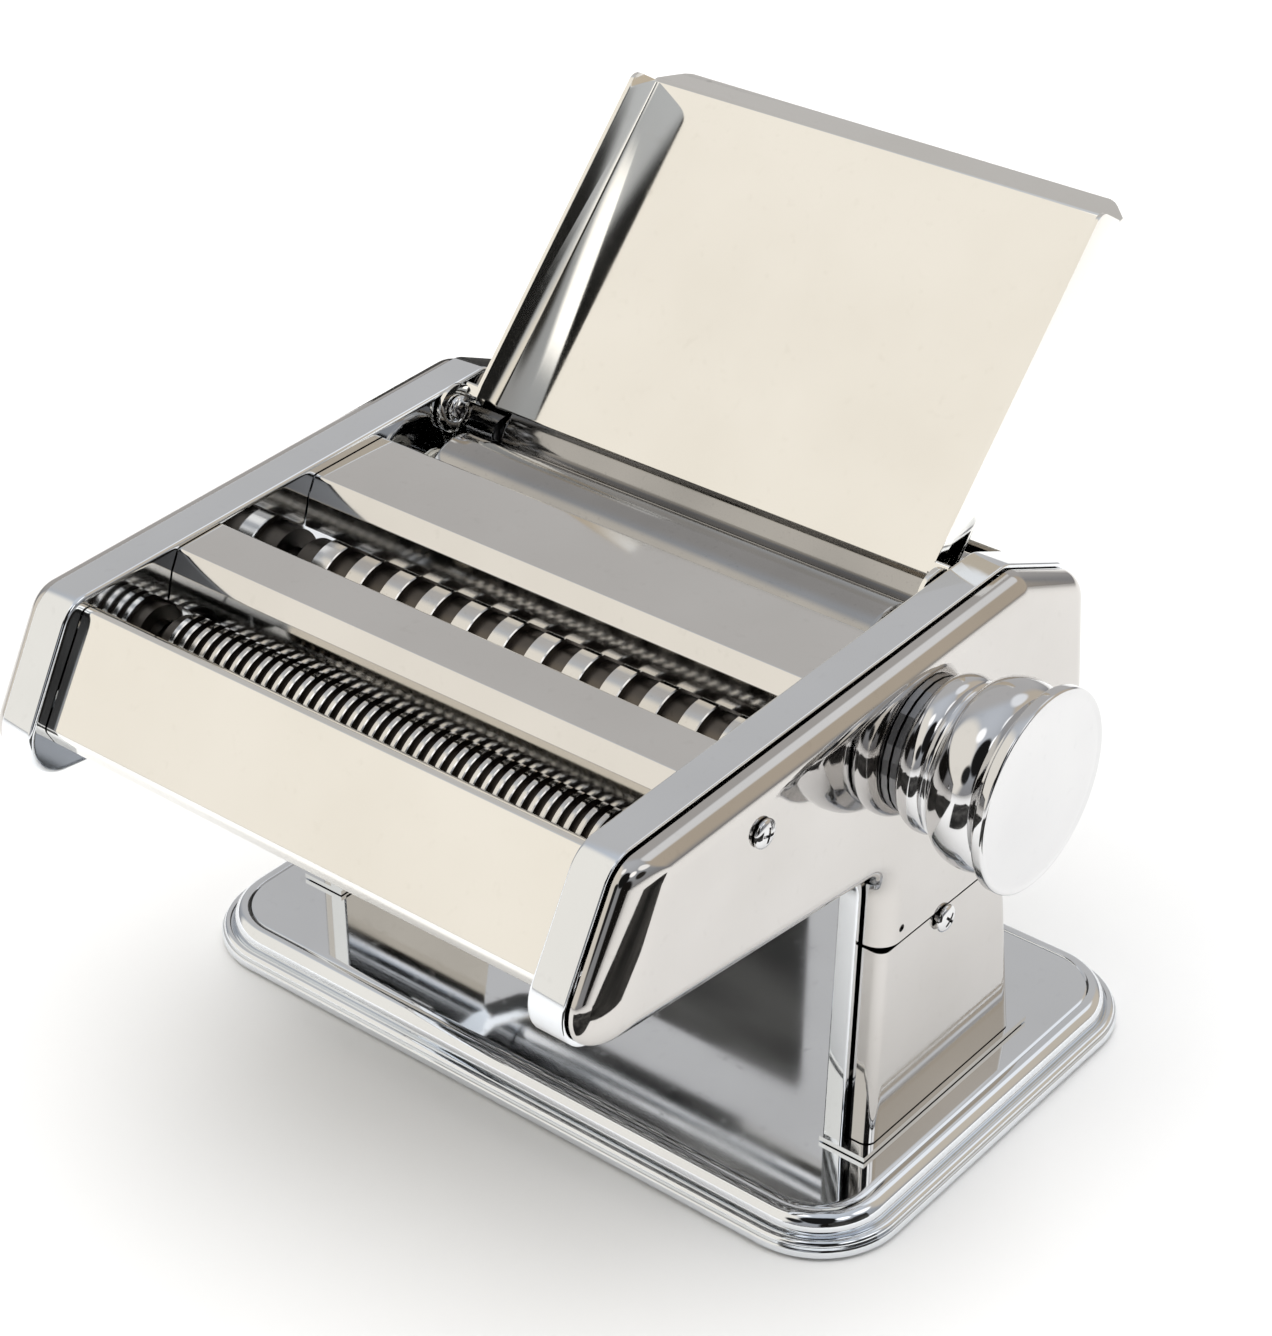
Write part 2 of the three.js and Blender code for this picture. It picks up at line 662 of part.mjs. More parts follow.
// Adjuster shaft with an eccentric in each slide plate and a head inside the knob.
function adjusterShaft() {
  const y = KNOB_Y + CAM_OFFSET * Math.cos(CAM_START);
  const z = KNOB_Z + CAM_OFFSET * Math.sin(CAM_START);
  return join(
    bar(SHAFT_RADIUS, -SLIDE_OUTSIDE, SHAFT_HEAD + 1.6, ...axisOf.knob, 16),
    bar(CAM_RADIUS, -SLIDE_OUTSIDE, -SLIDE_INSIDE, y, z, 20),
    bar(CAM_RADIUS, SLIDE_INSIDE, SLIDE_OUTSIDE, y, z, 20),
    bar(6.2, SHAFT_HEAD, SHAFT_HEAD + 1.6, ...axisOf.knob, 16),
  );
}

// Index ring on the cover: an arc slot with a lobe at each knob position.
function indexRing() {
  const [x0, x1] = [COVER_FACE + GAP, INDEX_RING_FACE];
  const along = (share) => THREE.MathUtils.degToRad(90 + share * KNOB_TURN_DEG);
  const place = (share) => [
    KNOB_Y + INDEX_RADIUS * Math.cos(along(share)),
    KNOB_Z + INDEX_RADIUS * Math.sin(along(share)),
  ];
  const lobes = Array.from({ length: KNOB_POSITIONS }, (_, i) =>
    bar(INDEX_PIN_RADIUS + 0.6, x0 - 1, x1 + 1, ...place(i / (KNOB_POSITIONS - 1)), 6),
  );
  const steps = 12;
  const arc = (radius, reverse) =>
    Array.from({ length: steps + 1 }, (_, k) => {
      const at = along(reverse ? 1 - k / steps : k / steps);
      return [KNOB_Y + radius * Math.cos(at), KNOB_Z + radius * Math.sin(at)];
    });
  const width = INDEX_PIN_RADIUS + 0.3;
  const track = [...arc(INDEX_RADIUS + width, false), ...arc(INDEX_RADIUS - width, true)];
  return cut(
    bar(INDEX_RING_RADIUS, x0, x1, ...axisOf.knob, 28),
    bar(SHAFT_RADIUS + RUNNING_GAP, x0 - 1, x1 + 1, ...axisOf.knob, 16),
    plate(track, x0 - 1, x1 + 1),
    ...lobes,
  );
}

const KNOB_SEAT = KNOB_BACK + 6; // floor of the spring's room in the knob

// Knob: collar bead, waist and large bead, hollow for the spring and the shaft's head.
function knobBody() {
  const x = (share) => KNOB_BACK + share * KNOB_LENGTH;
  const profile = [
    [x(0), SHAFT_RADIUS + RUNNING_GAP],
    [x(0), COLLAR_RADIUS - 1.6],
    [x(0.04), COLLAR_RADIUS - 0.6],
    [x(0.12), COLLAR_RADIUS],
    [x(0.22), COLLAR_RADIUS - 0.5],
    [x(0.3), WAIST_RADIUS],
    [x(0.38), WAIST_RADIUS + 0.7],
    [x(0.47), BEAD_RADIUS - 1.8],
    [x(0.56), BEAD_RADIUS - 0.3],
    [x(0.66), BEAD_RADIUS],
    [x(0.8), BEAD_RADIUS - 0.3],
    [x(0.92), BEAD_RADIUS - 1],
    [x(1), BEAD_RADIUS - 1.2],
    [x(1), 7.2],
    [KNOB_SEAT, 7.2],
    [KNOB_SEAT, SHAFT_RADIUS + RUNNING_GAP],
    [x(0), SHAFT_RADIUS + RUNNING_GAP],
  ];
  const body = turned(profile, ...axisOf.knob, 26);
  return cut(body, indexPinBar(INDEX_PIN_RADIUS + 0.2, KNOB_BACK - 1, KNOB_BACK + 5));
}

function indexPinBar(radius, x0, x1) {
  return bar(radius, x0, x1, KNOB_Y, KNOB_Z + INDEX_RADIUS, 10);
}

function knobCap() {
  const start = KNOB_FRONT + GAP;
  const edge = start + CAP_THICKNESS;
  const profile = [
    [start, 0],
    [start, CAP_RADIUS - 0.7],
    [start + 0.7, CAP_RADIUS],
    [edge - 1, CAP_RADIUS],
    [edge, CAP_RADIUS - 0.8],
    [edge + 0.3, CAP_RADIUS * 0.6],
    [edge + 0.5, 0],
  ];
  return turned(profile, ...axisOf.knob, 26);
}

// Coil spring behind the shaft's head, drawn at the length it has with the knob pulled out.
function knobSpring() {
  const low = KNOB_SEAT + KNOB_PULL + 0.7;
  const high = SHAFT_HEAD - 0.7;
  const coils = 4;
  class Helix extends THREE.Curve {
    getPoint(t, target = new THREE.Vector3()) {
      const at = 2 * Math.PI * coils * t;
      return target.set(low + (high - low) * t, 5 * Math.cos(at), 5 * Math.sin(at));
    }
  }
  const wire = new THREE.Shape();
  wire.absarc(0, 0, 0.4, 0, 2 * Math.PI, false);
  const options = { steps: coils * 10, curveSegments: 3, bevelEnabled: false, extrudePath: new Helix() };
  return solid(new THREE.ExtrudeGeometry(wire, options).translate(0, KNOB_Y, KNOB_Z));
}

// ---- Panels between the webs -----------------------------------------------------------------------

function panel(path) {
  return plate(bentSheet(path, PANEL_SHEET), -PANEL_HALF_WIDTH, PANEL_HALF_WIDTH);
}

// Front panel: top lip turned down in front of the narrow cutters, face leaning back, bottom return.
const FRONT_PANEL_PATH = [
  [-107.6, 121.6],
  [-109, 127.4],
  [-113.1, 129.8],
  [-127.2, 105.2],
  [-124.6, 100.6],
  [-113, 97.2],
];

// A roof between two troughs: turned-down rear edge, flat top, steep front face.
function roofPath(rear, front, top, foot) {
  return [
    [rear + 1.2, top - 6],
    [rear, top],
    [front, top - 0.6],
    [front - 2.4, top - 5.4],
    [foot, top - 12],
  ];
}

const REAR_ROOF_PATH = roofPath(-19.2, -42.4, 132.8, -46.6);
const FRONT_ROOF_PATH = roofPath(-71.6, -85.3, 132.4, -89.4);
const REAR_GUARD_PATH = [
  [37, 92.4],
  [45.2, 97],
  [41.8, 123.6],
  [33.4, 128.6],
];

function tieRod(y, z) {
  return bar(TIE_RADIUS, -PANEL_HALF_WIDTH, PANEL_HALF_WIDTH, y, z);
}

// Thin blade that keeps a smooth roller clean, reaching up to it from below.
function scraper(axis, side) {
  const reach = ROLLER_RADIUS + 0.5;
  const tip = [axis[0] + side * reach * 0.56, axis[1] - reach * 0.83];
  const foot = [tip[0] + side * 7.5, tip[1] - 6];
  const path = side < 0 ? [tip, foot] : [foot, tip];
  return panel(path);
}

// ---- Feed plate ------------------------------------------------------------------------------------

function feedPlate() {
  const [y0, z0] = PLATE_FOOT;
  const [y1, z1] = PLATE_TOP;
  const length = Math.hypot(y1 - y0, z1 - z0);
  const along = [(y1 - y0) / length, (z1 - z0) / length];
  const forward = [-along[1], along[0]];
  const w = PLATE_HALF_WIDTH;
  const at = (point, up, out) => [
    point[0] + up * along[0] + out * forward[0],
    point[1] + up * along[1] + out * forward[1],
  ];
  const face = plate([...bentSheet([PLATE_TOP, PLATE_FOOT], -PLATE_SHEET)].reverse(), -w, w);
  const strip = rounded(
    [
      [...PLATE_FOOT, 0.5],
      [...PLATE_TOP, 0.5],
      [...at(PLATE_TOP, -2, PLATE_FLANGE), 3],
      [...at(PLATE_FOOT, 0, PLATE_FLANGE), 2],
    ],
    0,
    3,
  );
  const step = rounded(
    [
      [PIVOT_Y + 3.2, PIVOT_Z + 2.6, 0.5],
      [PIVOT_Y + 5, PIVOT_Z - 0.5, 0.5],
      [PIVOT_Y + 8, PIVOT_Z + 2.5, 0.5],
      [PIVOT_Y + 5.2, PIVOT_Z + 4.9, 0.5],
    ],
    0,
    2,
  );
  const tabFace = WEB_INSIDE - 2 * GAP;
  const flangeOn = (side) => {
    const span = (x0, x1) => (side > 0 ? [x0, x1] : [-x1, -x0]);
    const tab = cut(
      bar(PIVOT_TAB_RADIUS, ...span(tabFace - PLATE_SHEET, tabFace), PIVOT_Y, PIVOT_Z, 20),
      bar(SCREW_SHANK_RADIUS + GAP, ...span(tabFace - 3, tabFace + 1), PIVOT_Y, PIVOT_Z, 12),
    );
    const wall = plate(strip, ...span(w - PLATE_SHEET, w));
    return join(wall, plate(step, ...span(w - PLATE_SHEET, tabFace)), tab);
  };
  const c = PLATE_LIP_CORNER;
  const lipOutline = rounded([
    [-w, -0.4, 0],
    [w, -0.4, 0],
    [w, 0, 0],
    [w - c, PLATE_LIP, 2],
    [c - w, PLATE_LIP, 2],
    [-w, 0, 0],
  ]);
  const lipShape = new THREE.Shape(lipOutline.map(([x, s]) => new THREE.Vector2(x, s)));
  const lip = solid(
    new THREE.ExtrudeGeometry(lipShape, { depth: PLATE_SHEET, bevelEnabled: false })
      .translate(0, 0, -PLATE_SHEET)
      .rotateX(THREE.MathUtils.degToRad(PLATE_LIP_SLOPE_DEG))
      .translate(0, y1, z1),
  );
  return join(face, flangeOn(-1), flangeOn(1), lip);
}

// ---- Assembly --------------------------------------------------------------------------------------

add("base_plate", basePlate(), "chrome");
for (const [along, x] of SIDES) {
  for (const [across, y] of [["front", -1], ["rear", 1]]) {
    const place = [x * (BASE_LENGTH / 2 - FOOT_INSET), y * (BASE_DEPTH / 2 - FOOT_INSET)];
    add(`rubber_foot_${across}_${along}`, rubberFoot(...place), "rubber");
  }
}

const crankHoles = ["frontRoller", "wideFront", "narrowFront"].map((name) =>
  bar(CRANK_HOLE_RADIUS, COVER_FACE - 4, COVER_FACE + 1, ...axisOf[name], 20),
);
const knobHole = bar(SHAFT_RADIUS + 1, COVER_FACE - 4, COVER_FACE + 1, ...axisOf.knob, 16);

for (const [end, side] of SIDES) {
  const holes = side < 0 ? crankHoles : [knobHole];
  add(`side_frame_${end}`, sideFrame(), "chrome", side);
  add(`head_cover_${end}`, cut(headCover(), ...holes), "chrome", side);
  add(`leg_cover_${end}`, legCover(), "chrome", side);
  add(`cover_face_screw_${end}`, screw(COVER_FACE + GAP, WEB_INSIDE, ...FACE_SCREW), "chrome", side);
  add(`cover_seam_screw_${end}`, screw(COVER_FACE + GAP, LEG_WEB_INSIDE, ...SEAM_SCREW), "chrome", side);
  add(`roller_bush_${end}`, rollerBush(), "nylon", side);
  add(`wide_bearing_plate_${end}`, bearingPlate(axisOf.wideFront, axisOf.wideRear), "nylon", side);
  add(`narrow_bearing_plate_${end}`, bearingPlate(axisOf.narrowFront, axisOf.narrowRear), "nylon", side);
  add(`slide_plate_${end}`, slidePlate(), "gearSteel", side);
}

// The pivot screws' heads face the middle of the machine, so each is turned end for end.
for (const [end, side] of SIDES) {
  const face = -(WEB_INSIDE - 2 * GAP - PLATE_SHEET - GAP);
  add(`feed_plate_screw_${end}`, screw(face, -WEB_OUTSIDE, ...axisOf.pivot), "chrome", -side);
}

const shortEnd = SLIDE_OUTSIDE - GAP;
const gearEnd = -GEAR_OUTSIDE;
add("front_roller", smoothRoller(axisOf.frontRoller, gearEnd, shortEnd), "rollerSteel");
add("rear_roller", smoothRoller(axisOf.rearRoller, gearEnd, SLIDE_OUTSIDE), "rollerSteel");

for (const [name, cutter, sides] of [["wide", WIDE, 12], ["narrow", NARROW, 8]]) {
  for (const rear of [false, true]) {
    const place = rear ? "rear" : "front";
    const axis = axisOf[name + (rear ? "Rear" : "Front")];
    const roller = cutterRoller(cutter, rear, axis, gearEnd, shortEnd, sides);
    add(`${name}_cutter_${place}`, roller, "rollerSteel");
    add(`${name}_comb_${place}`, comb(cutter, rear, axis), "warmSteel");
  }
}

// Gears in mesh: the front one has a tooth towards the rear one, which has a space there. The gears
// are drawn on the knob's side and mirrored to the crank end.
for (const [name, shape, front, rear] of [
  ["smooth", SMOOTH_GEAR, axisOf.frontRoller, axisOf.rearRoller],
  ["wide", cutterGear(WIDE.spacing), axisOf.wideFront, axisOf.wideRear],
  ["narrow", cutterGear(NARROW.spacing), axisOf.narrowFront, axisOf.narrowRear],
]) {
  const half = Math.PI / shape.teeth;
  add(`${name}_gear_front`, gear(shape, 0, front), "gearSteel", -1);
  add(`${name}_gear_rear`, gear(shape, Math.PI + half, rear), "gearSteel", -1);
  add(`${name}_crank_socket`, crankSocket(front), "gearSteel", -1);
}

add("adjuster_shaft", adjusterShaft(), "gearSteel");
add("index_ring", indexRing(), "gearSteel");
add("index_pin", indexPinBar(INDEX_PIN_RADIUS, COVER_FACE + GAP + 0.3, KNOB_BACK + 4.8), "gearSteel");
add("knob_body", knobBody(), "chrome");
add("knob_cap", knobCap(), "chrome");
add("knob_spring", knobSpring(), "gearSteel");

add("front_panel", panel(FRONT_PANEL_PATH), "warmSteel");
add("rear_guard", panel(REAR_GUARD_PATH), "chrome");
add("front_roof", panel(FRONT_ROOF_PATH), "warmSteel");
add("rear_roof", panel(REAR_ROOF_PATH), "warmSteel");
add("front_scraper", scraper(axisOf.frontRoller, -1), "warmSteel");
add("rear_scraper", scraper(axisOf.rearRoller, 1), "warmSteel");
add("front_tie_rod", tieRod(...FRONT_TIE), "chrome");
add("rear_tie_rod", tieRod(...REAR_TIE), "chrome");
add("feed_plate", feedPlate(), "warmSteel");

// The origin: the middle of the footprint, at the level of the table.
const bounds = new THREE.Box3().setFromObject(machine);
const middle = bounds.getCenter(new THREE.Vector3());
machine.position.set(-middle.x, -middle.y, -bounds.min.z);

export default root;
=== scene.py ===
"""Looks of a hand-cranked pasta roller machine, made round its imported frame.

Every shell below is drawn in millimetres, with the middle of the base plate as zero, +X towards the
thickness knob and -Y towards the cutters, and is then moved to the frame's own place in metres.
"""

import json
import logging
import math
from dataclasses import dataclass, field
from enum import Enum
from typing import Iterable, Sequence

import bmesh
import bpy
from mathutils import Matrix, Vector


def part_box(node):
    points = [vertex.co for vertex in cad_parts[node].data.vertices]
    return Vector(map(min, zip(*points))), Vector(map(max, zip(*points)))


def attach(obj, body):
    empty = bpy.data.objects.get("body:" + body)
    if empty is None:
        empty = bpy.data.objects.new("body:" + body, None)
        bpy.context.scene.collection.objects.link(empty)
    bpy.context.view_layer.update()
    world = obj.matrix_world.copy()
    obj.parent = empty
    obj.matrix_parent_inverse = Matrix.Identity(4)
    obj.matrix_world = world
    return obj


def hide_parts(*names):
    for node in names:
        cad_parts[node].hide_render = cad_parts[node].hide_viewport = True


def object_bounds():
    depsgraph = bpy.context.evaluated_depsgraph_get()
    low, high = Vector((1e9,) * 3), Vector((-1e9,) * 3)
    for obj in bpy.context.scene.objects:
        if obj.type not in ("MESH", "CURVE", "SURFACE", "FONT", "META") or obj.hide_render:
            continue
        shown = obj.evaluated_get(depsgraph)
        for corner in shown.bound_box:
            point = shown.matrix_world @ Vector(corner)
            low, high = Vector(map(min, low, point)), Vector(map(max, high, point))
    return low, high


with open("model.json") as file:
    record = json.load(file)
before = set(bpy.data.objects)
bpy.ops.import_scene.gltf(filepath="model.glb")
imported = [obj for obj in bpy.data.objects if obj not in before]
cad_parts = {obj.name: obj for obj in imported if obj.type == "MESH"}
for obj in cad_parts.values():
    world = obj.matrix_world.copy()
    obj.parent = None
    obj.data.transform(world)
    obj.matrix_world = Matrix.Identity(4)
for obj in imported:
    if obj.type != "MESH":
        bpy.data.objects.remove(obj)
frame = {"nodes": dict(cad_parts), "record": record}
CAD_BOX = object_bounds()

MM = 0.001
LOG = logging.getLogger("pasta_roller")
Corner = tuple[float, float, float]
Point = tuple[float, float]
Colour = tuple[float, float, float]


class Side(Enum):
    """The two ends of the machine."""

    LEFT = -1
    RIGHT = 1


class Cut(Enum):
    """How one shell is worked with another."""

    TAKE_AWAY = "DIFFERENCE"
    JOIN = "UNION"


# ---- Node graphs ------------------------------------------------------------------------------------


class Wire:
    """A value in a node graph. Sums and products of wires and numbers add Math nodes."""

    def __init__(self, graph: "Graph", socket: bpy.types.NodeSocket) -> None:
        """Keeps the socket that carries the value.

        Args:
            graph: The graph that the socket belongs to.
            socket: The output socket.
        """
        self.graph = graph
        self.socket = socket

    def _with(self, operation: str, first: object, second: object) -> "Wire":
        """The result of one Math operation on two wires or numbers."""
        return self.graph.add("ShaderNodeMath", {"operation": operation}, {0: first, 1: second})

    def __add__(self, other: object) -> "Wire":
        """This value plus another."""
        return self._with("ADD", self, other)

    def __sub__(self, other: object) -> "Wire":
        """This value less another."""
        return self._with("SUBTRACT", self, other)

    def __rsub__(self, other: object) -> "Wire":
        """Another value less this one."""
        return self._with("SUBTRACT", other, self)

    def __mul__(self, other: object) -> "Wire":
        """This value times another."""
        return self._with("MULTIPLY", self, other)

    __radd__ = __add__
    __rmul__ = __mul__


class Graph:
    """A node tree, to which any node is added in one call."""

    def __init__(self, tree: bpy.types.NodeTree) -> None:
        """Works on an empty tree."""
        self.tree = tree

    @staticmethod
    def _find(sockets: Iterable[bpy.types.NodeSocket], key: object) -> bpy.types.NodeSocket:
        """The socket with an index, an identifier or a name.

        Args:
            sockets: A node's inputs or outputs.
            key: The index, identifier or name.

        Returns:
            The socket.
        """
        every = list(sockets)
        if isinstance(key, int):
            return every[key]
        for socket in every:
            if socket.identifier == key:
                return socket
        return next(socket for socket in every if socket.name == key and socket.enabled)

    def node(self, kind: str, settings: dict, inputs: dict) -> bpy.types.Node:
        """Adds a node.

        Args:
            kind: The node's type.
            settings: Its properties, which are set first. "stops" is a ramp's list of (place, colour).
            inputs: Values or wires by socket index, identifier or name.

        Returns:
            The new node.
        """
        made = self.tree.nodes.new(kind)
        for name, value in settings.items():
            if name == "stops":
                self._set_stops(made.color_ramp, value)
            else:
                setattr(made, name, value)
        for key, value in inputs.items():
            self.feed(made, key, value)
        return made

    def feed(self, node: bpy.types.Node, key: object, value: object) -> None:
        """Sets a node's input, or links a wire to it.

        Args:
            node: The node.
            key: The input's index, identifier or name.
            value: A value or a wire.
        """
        socket = self._find(node.inputs, key)
        if isinstance(value, Wire):
            self.tree.links.new(value.socket, socket)
        else:
            socket.default_value = value

    @staticmethod
    def _set_stops(ramp: bpy.types.ColorRamp, stops: Sequence[tuple[float, Sequence[float]]]) -> None:
        """Gives a colour ramp its stops.

        Args:
            ramp: The ramp.
            stops: Each stop's place and colour.
        """
        while len(ramp.elements) < len(stops):
            ramp.elements.new(1.0)
        for element, (place, colour) in zip(ramp.elements, stops):
            element.position = place
            element.color = (*colour[:3], 1.0)

    def wire(self, node: bpy.types.Node, key: object) -> Wire:
        """A node's output as a wire."""
        return Wire(self, self._find(node.outputs, key))

    def add(self, kind: str, settings: dict, inputs: dict, out: object = 0) -> Wire:
        """Adds a node as `node` does, and gives one of its outputs."""
        return self.wire(self.node(kind, settings, inputs), out)

    def blend(self, share: Wire, low: Wire | Colour, high: Colour) -> Wire:
        """A colour between two, by a share from 0 to 1.

        Args:
            share: How much of the second colour there is.
            low: The colour at 0.
            high: The colour at 1.

        Returns:
            The colour.
        """
        start = low if isinstance(low, Wire) else (*low, 1.0)
        inputs = {"Factor_Float": share, "A_Color": start, "B_Color": (*high, 1.0)}
        return self.add("ShaderNodeMix", {"data_type": "RGBA"}, inputs, "Result_Color")

    def band(self, value: Wire, low: float, high: float, easing: str = "LINEAR") -> Wire:
        """A value spread so that low gives 0 and high gives 1."""
        inputs = {"Value": value, "From Min": low, "From Max": high}
        return self.add("ShaderNodeMapRange", {"interpolation_type": easing}, inputs, "Result")


class Surface(Graph):
    """A material's graph, which ends in one Principled shader."""

    def __init__(self, name: str) -> None:
        """Makes an empty material with its shader and output."""
        self.material = bpy.data.materials.new(name)
        self.material.use_nodes = True
        super().__init__(self.material.node_tree)
        self.tree.nodes.clear()
        self.shader = self.node("ShaderNodeBsdfPrincipled", {}, {})
        self.node("ShaderNodeOutputMaterial", {}, {"Surface": self.wire(self.shader, "BSDF")})
        self.place = self.add("ShaderNodeTexCoord", {}, {}, "Object")

    def set(self, **values: object) -> None:
        """Sets or links the shader's sockets; an underscore in a name stands for a space."""
        for name, value in values.items():
            self.feed(self.shader, name.replace("_", " "), value)

    def noise(self, scale: float, stretch: Sequence[float] = (1, 1, 1), detail: float = 3.0) -> Wire:
        """Noise over the piece.

        Args:
            scale: Patches per metre.
            stretch: How much finer it is along each axis.
            detail: Layers of finer noise.

        Returns:
            The noise, from 0 to 1.
        """
        place = self.add("ShaderNodeMapping", {}, {"Vector": self.place, "Scale": tuple(stretch)}, "Vector")
        return self.add("ShaderNodeTexNoise", {}, {"Vector": place, "Scale": scale, "Detail": detail})

    def relief(self, height: Wire, distance: float, under: Wire | None = None) -> Wire:
        """A bump of a given depth in metres, over another if there is one.

        Args:
            height: The relief's height, from 0 to 1.
            distance: Its depth in metres.
            under: The bump that it lies on.

        Returns:
            The normal.
        """
        inputs: dict[object, object] = {"Height": height, "Distance": distance, "Strength": 1.0}
        if under is not None:
            inputs["Normal"] = under
        return self.add("ShaderNodeBump", {}, inputs, "Normal")


# ---- Finishes ---------------------------------------------------------------------------------------


SMEAR_BAND = (0.35, 0.75)  # the noise at which a smear begins and is full
SPECK_BAND = (0.62, 0.74)
SPECK_SCALE = 0.4  # of the fine lines' scale
SMEAR_SHARE = 0.7  # of the dull tint; specks bring the rest
SPECK_ROUGHNESS = 0.03
MOTTLE_BAND = (0.3, 0.7)
MOTTLE_ROUGHNESS = 0.12


@dataclass(frozen=True)
class Polish:
    """A bare metal finish, with smears, fine lines and the slight waves of pressed sheet."""

    name: str
    slot: str
    tint: Colour
    dull_tint: Colour
    roughness: float
    smear: float = 0.05
    smear_scale: float = 26.0
    line_depth: float = 2e-7
    line_scale: float = 900.0
    line_stretch: tuple[float, float, float] = (1.0, 0.03, 0.03)
    wave_depth: float = 0.0
    wave_scale: float = 16.0

    def material(self) -> bpy.types.Material:
        """Makes the finish's material.

        Returns:
            The material, which reads the piece's own coordinates.
        """
        surface = Surface(self.name)
        smears = surface.band(surface.noise(self.smear_scale), *SMEAR_BAND)
        lines = surface.noise(self.line_scale, self.line_stretch, 2.0)
        specks = surface.band(surface.noise(self.line_scale * SPECK_SCALE), *SPECK_BAND)
        normal = surface.relief(lines, self.line_depth)
        if self.wave_depth:
            normal = surface.relief(surface.noise(self.wave_scale, detail=1.0), self.wave_depth, normal)
        wear = smears * SMEAR_SHARE + specks * (1 - SMEAR_SHARE)
        surface.set(
            Base_Color=surface.blend(wear, self.tint, self.dull_tint),
            Roughness=smears * self.smear + self.roughness + specks * SPECK_ROUGHNESS,
            Metallic=1.0,
            Normal=normal,
        )
        return surface.material


@dataclass(frozen=True)
class Moulding:
    """A moulded finish, for nylon and rubber, with a fine grain and faint mottling."""

    name: str
    slot: str
    tint: Colour
    dull_tint: Colour
    roughness: float
    grain_depth: float = 2e-5
    grain_scale: float = 1400.0
    mottle_scale: float = 60.0

    def material(self) -> bpy.types.Material:
        """Makes the finish's material.

        Returns:
            The material, which reads the piece's own coordinates.
        """
        surface = Surface(self.name)
        mottle = surface.band(surface.noise(self.mottle_scale), *MOTTLE_BAND)
        grain = surface.noise(self.grain_scale, detail=2.0)
        surface.set(
            Base_Color=surface.blend(mottle, self.tint, self.dull_tint),
            Roughness=mottle * MOTTLE_ROUGHNESS + self.roughness,
            Metallic=0.0,
            Normal=surface.relief(grain, self.grain_depth),
        )
        return surface.material


MIRROR = Polish(
    "mirror_chrome", "chrome", (0.84, 0.865, 0.895), (0.77, 0.79, 0.815), 0.03, wave_depth=1.2e-5
)
DRAWN_CHROME = Polish(
    "drawn_chrome", "chrome", (0.63, 0.61, 0.59), (0.56, 0.54, 0.515), 0.03, wave_depth=2.2e-5
)
PLAIN_CHROME = Polish("turned_chrome", "chrome", (0.74, 0.74, 0.745), (0.66, 0.66, 0.67), 0.04)
WARM_SHEET = Polish(
    "bright_sheet", "warm_steel", (0.90, 0.885, 0.85), (0.84, 0.82, 0.775), 0.05, wave_depth=1.2e-5
)
ROOF_SHEET = Polish(
    "roof_sheet", "warm_steel", (0.80, 0.785, 0.765), (0.73, 0.715, 0.69), 0.045, wave_depth=6e-6
)
# Near-black steel laid on the cutter cores and ring roots: painted shade in the grooves between the rings.
PAINTED_GROOVE_SHADE = Polish(
    "groove_steel", "roller_steel", (0.16, 0.14, 0.12), (0.07, 0.06, 0.05), 0.3, smear=0.2
)
TURNED_STEEL = Polish(
    "turned_roller_steel",
    "roller_steel",
    (0.47, 0.46, 0.45),
    (0.33, 0.325, 0.32),
    0.07,
    smear=0.08,
    line_depth=1.0e-6,
    line_scale=2600.0,
)
CUTTER_STEEL = Polish(
    "cutter_steel",
    "roller_steel",
    (0.80, 0.79, 0.77),
    (0.60, 0.57, 0.53),
    0.12,
    smear=0.08,
    line_depth=8e-7,
    line_scale=2600.0,
)
SATIN_STEEL = Polish(
    "satin_steel",
    "gear_steel",
    (0.42, 0.43, 0.45),
    (0.30, 0.30, 0.31),
    0.34,
    smear=0.12,
    line_depth=2e-6,
    line_stretch=(1.0, 1.0, 1.0),
)
NYLON = Moulding("ivory_nylon", "nylon", (0.80, 0.77, 0.69), (0.70, 0.66, 0.57), 0.42)
RUBBER = Moulding("black_rubber", "rubber", (0.022, 0.022, 0.023), (0.045, 0.044, 0.043), 0.68)


class Stock:
    """Makes each finish's material once."""

    def __init__(self) -> None:
        """Starts with no material made."""
        self._made: dict[str, bpy.types.Material] = {}

    def of(self, finish: Polish | Moulding) -> bpy.types.Material:
        """The material of a finish.

        Args:
            finish: The finish.

        Returns:
            Its material, made at the first call.
        """
        if finish.name not in self._made:
            self._made[finish.name] = finish.material()
        return self._made[finish.name]


STOCK = Stock()


# ---- Outlines ---------------------------------------------------------------------------------------


def arc(centre: Point, radii: Point, start: float, end: float, steps: int) -> list[Point]:
    """Points along an ellipse's arc.

    Args:
        centre: The ellipse's middle.
        radii: Its two half widths.
        start: The first point's angle, in degrees.
        end: The last point's angle, in degrees.
        steps: The number of stretches.

    Returns:
        The points, both ends included.
    """
    angles = [math.radians(start + (end - start) * k / steps) for k in range(steps + 1)]
    return [(centre[0] + radii[0] * math.cos(a), centre[1] + radii[1] * math.sin(a)) for a in angles]


